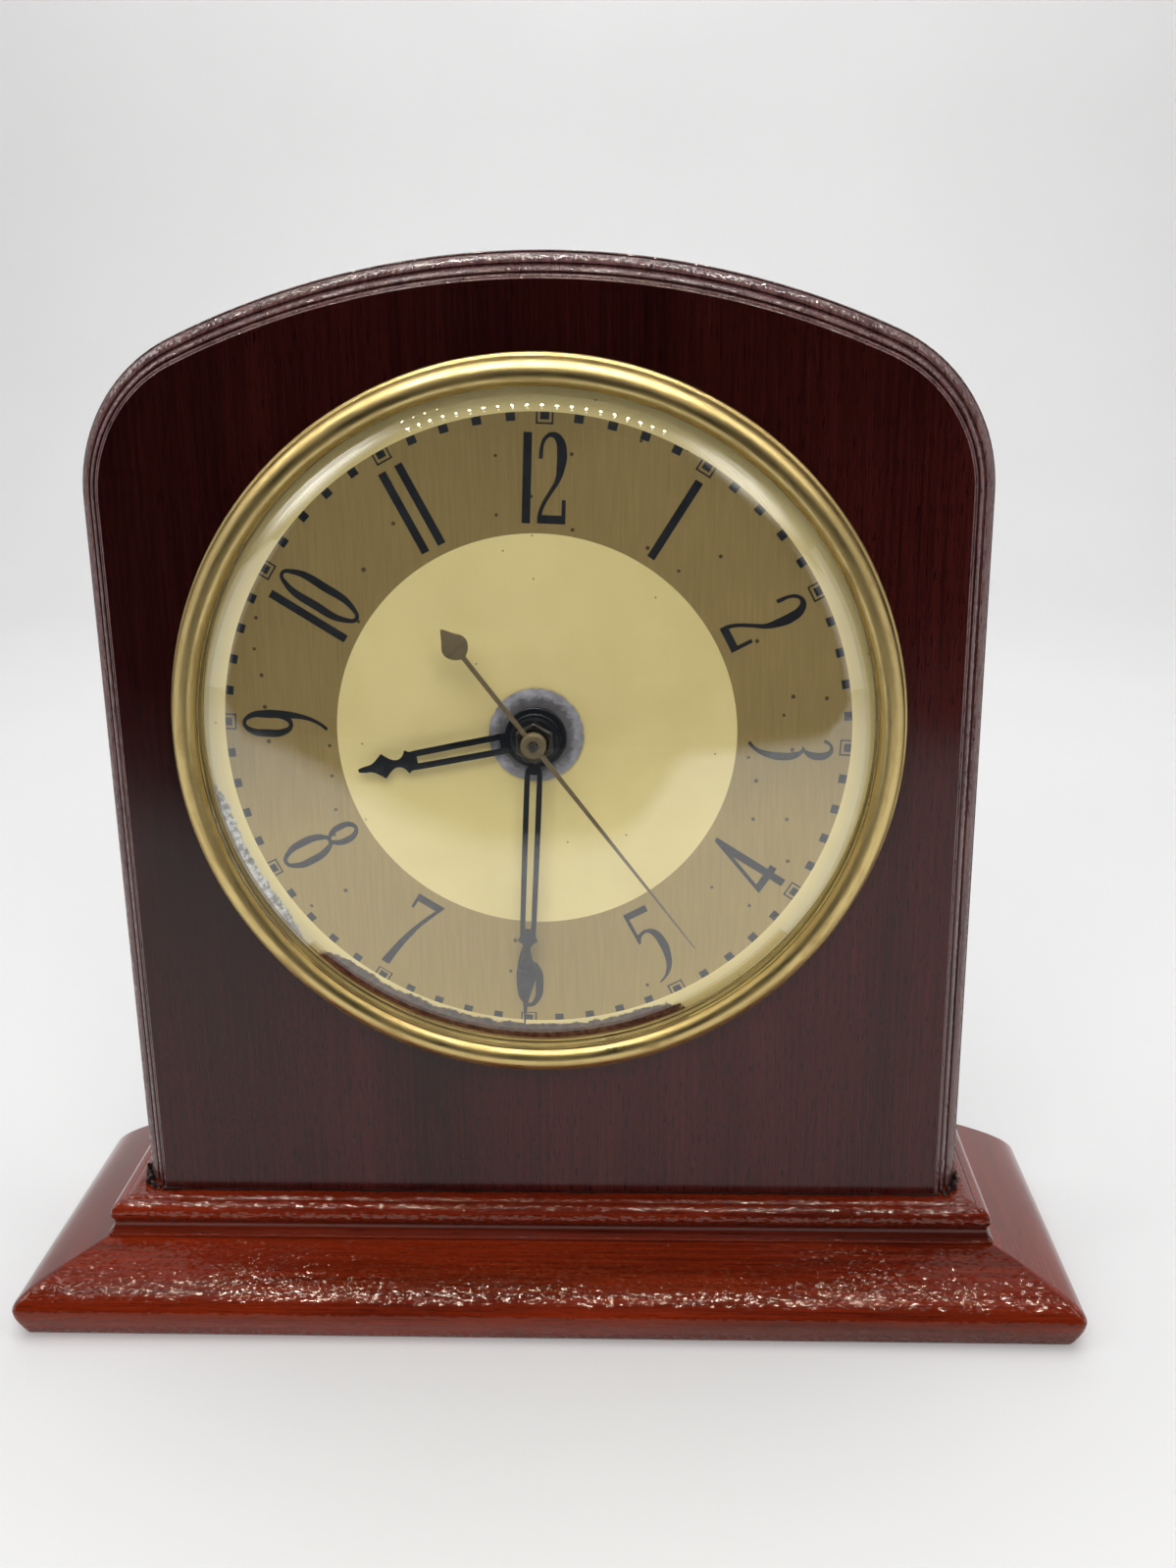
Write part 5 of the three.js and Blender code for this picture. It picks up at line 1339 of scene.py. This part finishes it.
class CLOCK_OT_hands(bpy.types.Operator):
    """Hour, minute and seconds hands with their hubs and the nut"""

    bl_idname = "clock.hands"
    bl_label = "Hands"

    # Angle clockwise from twelve and reach of each hand
    HOUR = (259.2, 32.5)
    MINUTE = (183.2, 55.2)
    SECONDS = (143.2, 47.1)
    TAIL = 25.6
    BLADE = 0.5 * MM

    def mirrored(self, half):
        """A whole outline from its right half, given from the hub out to the tip."""
        return half + [(-spot[0], *spot[1:]) for spot in half[::-1]]

    def blade(self, bm, loops, angle, depth, thickness, rounding):
        """Adds a flat blade at its angle."""
        add_shape(bm, cut_shape(loops, thickness, rounding), on_dial(math.radians(angle), 0, depth))

    def hub(self, bm, profile, front):
        """Adds a turned hub; its profile is in [radius, back from the front] points."""
        turned(bm, [(radius, front / MM + back) for radius, back in profile], steps=64)

    def execute(self, context):
        self.hour_hand()
        self.minute_hand()
        self.nut()
        self.seconds_hand()
        return {"FINISHED"}

    def hour_hand(self):
        """Slotted hour hand with a spade tip."""
        low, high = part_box("hour_hand")
        angle, reach = self.HOUR
        bm = bmesh.new()
        outline = self.mirrored([
            (1.9, 4.4, 1), (1.9, 6.6), (1.75, reach - 10.3), (1.7, reach - 9.9), (2.15, reach - 9.0, 1),
            (1.2, reach - 8.4), (0.72, reach - 7.6), (0.8, reach - 6.6), (2.3, reach - 4.7, 1), (1.3, reach - 3.5),
            (0.75, reach - 2.6), (0.5, reach - 1.0), (0.28, reach - 0.1, 1),
        ])
        slot = self.mirrored([(0.78, 6.4, 1), (0.66, reach - 10.9, 1)])
        self.blade(bm, [outline, slot], angle, high.y - 0.5 * MM, self.BLADE, 0.09 * MM)
        self.hub(bm, [(3.1, 0.15), (3.3, 0.0), (4.3, 0.0), (4.5, 0.2), (4.5, 0.55), (5.3, 0.6), (5.5, 0.8), (5.5, 1.25),
                      (5.35, 1.4), (3.1, 1.4)], low.y)
        piece("hand_hour", bm, ["blued_steel"], ["hour_hand"], "hour", 40)

    def minute_hand(self):
        """Slotted minute hand with a long leaf tip."""
        low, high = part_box("minute_hand")
        angle, reach = self.MINUTE
        bm = bmesh.new()
        outline = self.mirrored([
            (0.9, 3.4, 1), (0.95, 4.5), (1.35, 5.3), (1.55, 6.4), (1.45, reach - 19.2), (1.42, reach - 18.4),
            (1.8, reach - 17.3, 1), (0.95, reach - 16.6), (0.58, reach - 15.8), (0.75, reach - 14.6),
            (1.75, reach - 11.6), (1.85, reach - 10.6), (1.3, reach - 8.2), (0.55, reach - 5.4), (0.3, reach - 3.4),
            (0.1, reach, 1),
        ])
        slot = self.mirrored([(0.62, 6.3, 1), (0.55, reach - 19.6, 1)])
        self.blade(bm, [outline, slot], angle, high.y - 0.5 * MM, self.BLADE, 0.08 * MM)
        self.hub(bm, [(2.4, 0.1), (2.6, 0.0), (3.9, 0.0), (4.2, 0.25), (4.2, 1.2), (4.0, 1.4), (2.4, 1.4)], low.y)
        piece("hand_minute", bm, ["blued_steel"], ["minute_hand"], "minute", 40)

    def nut(self):
        """Hexagonal nut with a round hole."""
        low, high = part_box("minute_nut")
        bm = bmesh.new()
        corner = (high.z - low.z) / math.sqrt(3)
        rings = []
        for segments, radius, back in (
            (6, corner, 0.0), (6, corner, 0.85), (6, corner * 0.9, 1.15),
            (36, 2.6 * MM, 1.2), (36, 2.45 * MM, 1.0), (36, 2.4 * MM, 0.0),
        ):
            matrix = Matrix.Translation((0, high.y, AXIS.z)) @ UPRIGHT @ Matrix.Translation((0, 0, back * MM))
            rings.append(circle(bm, segments, radius, matrix)[1])
        bridged(bm, rings + rings[:1])
        piece("nut", bm, ["dark_steel"], ["minute_nut"], "minute", 25)

    def seconds_hand(self):
        """Thin seconds hand with a leaf at its tail."""
        low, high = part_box("seconds_hand")
        angle, reach = self.SECONDS
        tail = -self.TAIL
        bm = bmesh.new()
        outline = self.mirrored([
            (0.12, tail, 1), (1.2, tail + 1.6), (2.35, tail + 3.5), (1.7, tail + 5.3), (0.42, tail + 6.2, 1),
            (0.42, -2, 1), (0.46, 2, 1), (0.12, reach, 1),
        ])
        self.blade(bm, [outline], angle, high.y - 0.6 * MM, 0.35 * MM, 0.06 * MM)
        self.hub(bm, [(0.85, 0.1), (1.0, 0.0), (1.9, 0.0), (2.25, 0.3), (2.25, 1.25), (2.1, 1.4), (0.85, 1.4)], low.y)
        piece("hand_seconds", bm, ["seconds_brass"], ["seconds_hand"], "seconds", 40)


class CLOCK_OT_back(bpy.types.Operator):
    """Back cover, the cord's grommet and the cover screws"""

    bl_idname = "clock.back"
    bl_label = "Back cover"

    EDGE = [(0, 0.7), (0.15, 0.95), (0.4, 1.1), (0.7, 1.2), (5.0, 1.2), (5.5, 1.0), (6.0, 0.95)]
    # Radii of the cover's holes, in millimetres
    HOLES = (("start_knob", 1.6), ("set_knob", 1.7), ("cord_grommet", 5.0))
    # Half width and depth of a screw's slot, and radius and height of its head, in millimetres
    SLOT_HALF, SLOT_DEPTH, HEAD, DOME = 0.35, 0.75, 2.6, 1.3

    def execute(self, context):
        low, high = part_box("back_cover")
        bm = bmesh.new()
        moulded(bm, arch_face(bm, PANEL_HIGH.x - high.x, low.y, low.z, False), self.EDGE)
        holes = []
        for name, room in self.HOLES:
            middle = place_of(name)[2]
            holes.append((middle.x, middle.z, room * MM))
        pierced(bm, holes)
        piece("cover", bm, ["cover_paint"], ["back_cover"], crease=40)
        self.grommet()
        for name in ("low_left", "high_left", "low_right", "high_right"):
            self.screw(f"cover_screw_{name}")
        return {"FINISHED"}

    def grommet(self):
        """Rubber ring with a flange on each side of the cover."""
        low, high, middle = place_of("cord_grommet")
        front, back = low.y / MM, high.y / MM
        bm = bmesh.new()
        profile = [(3.6, front + 0.4), (4.0, front), (5.9, front), (6.4, front + 0.4), (6.4, front + 1.3),
                   (5.0, front + 1.4), (5.0, back - 1.4), (6.4, back - 1.3)]
        profile += quarter(5.4, back - 0.9, 1.0, 0.9)
        profile += [(4.5, back), (3.9, back - 0.2), (3.6, back - 0.7)]
        turned(bm, profile, middle, 64)
        piece("grommet", bm, ["black_rubber"], ["cord_grommet"], crease=40)

    def screw(self, name):
        """Round-headed screw with a slot, each turned its own way."""
        low, high, middle = place_of(name)
        head, tip = high.y / MM, low.y / MM
        bm = bmesh.new()
        shank = [(0, tip), (0.6, tip + 1.6), (1.2, tip + 2.2), (1.2, head - self.DOME)]
        dome = quarter(0, head - self.DOME, self.HEAD, self.DOME)
        turned(bm, shank + dome[:-1] + [(0, head)], middle, 32, False)
        for offset in (-self.SLOT_HALF, self.SLOT_HALF):
            geometry = bm.verts[:] + bm.edges[:] + bm.faces[:]
            bmesh.ops.bisect_plane(bm, geom=geometry, plane_co=(0, 0, middle.z + offset * MM), plane_no=(0, 0, 1))
        bm.normal_update()
        strip = []
        for face in bm.faces:
            if abs(face.calc_center_median().z - middle.z) < self.SLOT_HALF * MM and face.normal.y > 0.3:
                strip.append(face)
        made = bmesh.ops.extrude_face_region(bm, geom=strip)["geom"]
        for vert in verts_of(made):
            vert.co.y = min(vert.co.y, (head - self.SLOT_DEPTH) * MM)
        turn = Matrix.Rotation(0.6 + middle.x * 30 + middle.z * 9, 4, "Y")
        bmesh.ops.rotate(bm, verts=bm.verts, cent=middle, matrix=turn)
        piece(f"{name}_slotted", bm, ["brass"], [name], crease=40)


class CLOCK_OT_knobs(bpy.types.Operator):
    """Knurled start and set knobs at the back"""

    bl_idname = "clock.knobs"
    bl_label = "Knobs"

    # Share of the knob's radius and distance from its front in millimetres
    STEPS = (
        (0.45, 0.0), (0.45, 1.5), (0.86, 1.6), (0.93, 1.9), (1.0, 2.3), (1.0, 8.4), (0.95, 9.0), (0.87, 9.4),
        (0.6, 9.5), (0.55, 9.3), (0.2, 9.2),
    )
    # Least share that is knurled, and the share of the radius that a groove leaves
    KNURLED, GROOVE = 0.9, 0.965

    def execute(self, context):
        self.knob("start_knob", "rotor", 60)
        self.knob("set_knob", "setting", 48)
        return {"FINISHED"}

    def knob(self, name, body, ribs):
        """One knob on its body, with its number of ribs."""
        low, high, middle = place_of(name)
        radius = (high.x - low.x) / 2
        bm = bmesh.new()
        rings = []
        for share, out in self.STEPS:
            matrix = Matrix.Translation((middle.x, low.y + out * MM, middle.z)) @ UPRIGHT
            verts, edges = circle(bm, 4 * ribs, radius * share, matrix)
            rings.append(edges)
            for index, vert in enumerate(verts):
                if share > self.KNURLED and index % 4 in (0, 1):
                    spoke = vert.co - middle
                    vert.co.x = middle.x + spoke.x * self.GROOVE
                    vert.co.z = middle.z + spoke.z * self.GROOVE
        bridged(bm, rings)
        bmesh.ops.holes_fill(bm, edges=[edge for edge in bm.edges if edge.is_boundary], sides=0)
        piece(f"{name}_knurled", bm, ["black_moulding"], [name], body, 30)


class CLOCK_OT_movement(bpy.types.Operator):
    """Finishes of the movement and of the other pieces kept from the frame"""

    bl_idname = "clock.movement"
    bl_label = "Movement"

    def execute(self, context):
        for part in frame["record"]["subparts"]:
            kept = frame["nodes"][part["node"]]
            if not kept.hide_render:
                kept.data.materials.clear()
                kept.data.materials.append(finish(part["material_slot"]))
        return {"FINISHED"}


class CLOCK_PT_panel(bpy.types.Panel):
    """Lists the clock's pieces in the sidebar"""

    bl_label = "Mantel clock"
    bl_idname = "CLOCK_PT_panel"
    bl_space_type = "VIEW_3D"
    bl_region_type = "UI"
    bl_category = "Clock"

    def draw(self, context):
        for settings in (context.scene.clock_case, context.scene.clock_dial, context.scene.clock_stage):
            for name in settings.__annotations__:
                self.layout.prop(settings, name)
        for operator in OPERATORS:
            self.layout.operator(operator.bl_idname)


OPERATORS = (
    CLOCK_OT_stage, CLOCK_OT_panel, CLOCK_OT_walls, CLOCK_OT_base, CLOCK_OT_bezel, CLOCK_OT_glass, CLOCK_OT_dial,
    CLOCK_OT_print, CLOCK_OT_hands, CLOCK_OT_back, CLOCK_OT_knobs, CLOCK_OT_movement,
)
SETTINGS = {"clock_case": CaseSettings, "clock_dial": DialSettings, "clock_stage": StageSettings}
CLASSES = (*SETTINGS.values(), *OPERATORS, CLOCK_PT_panel)


def register():
    """Adds the classes and the settings to Blender."""
    for made in CLASSES:
        bpy.utils.register_class(made)
    for name, settings in SETTINGS.items():
        setattr(bpy.types.Scene, name, PointerProperty(type=settings))


def unregister():
    """Takes the settings and the classes out of Blender."""
    for name in SETTINGS:
        delattr(bpy.types.Scene, name)
    for made in reversed(CLASSES):
        bpy.utils.unregister_class(made)


def main():
    """Builds the clock."""
    register()
    for operator in OPERATORS:
        group, name = operator.bl_idname.split(".")
        getattr(getattr(bpy.ops, group), name)()


if __name__ == "__main__":
    main()
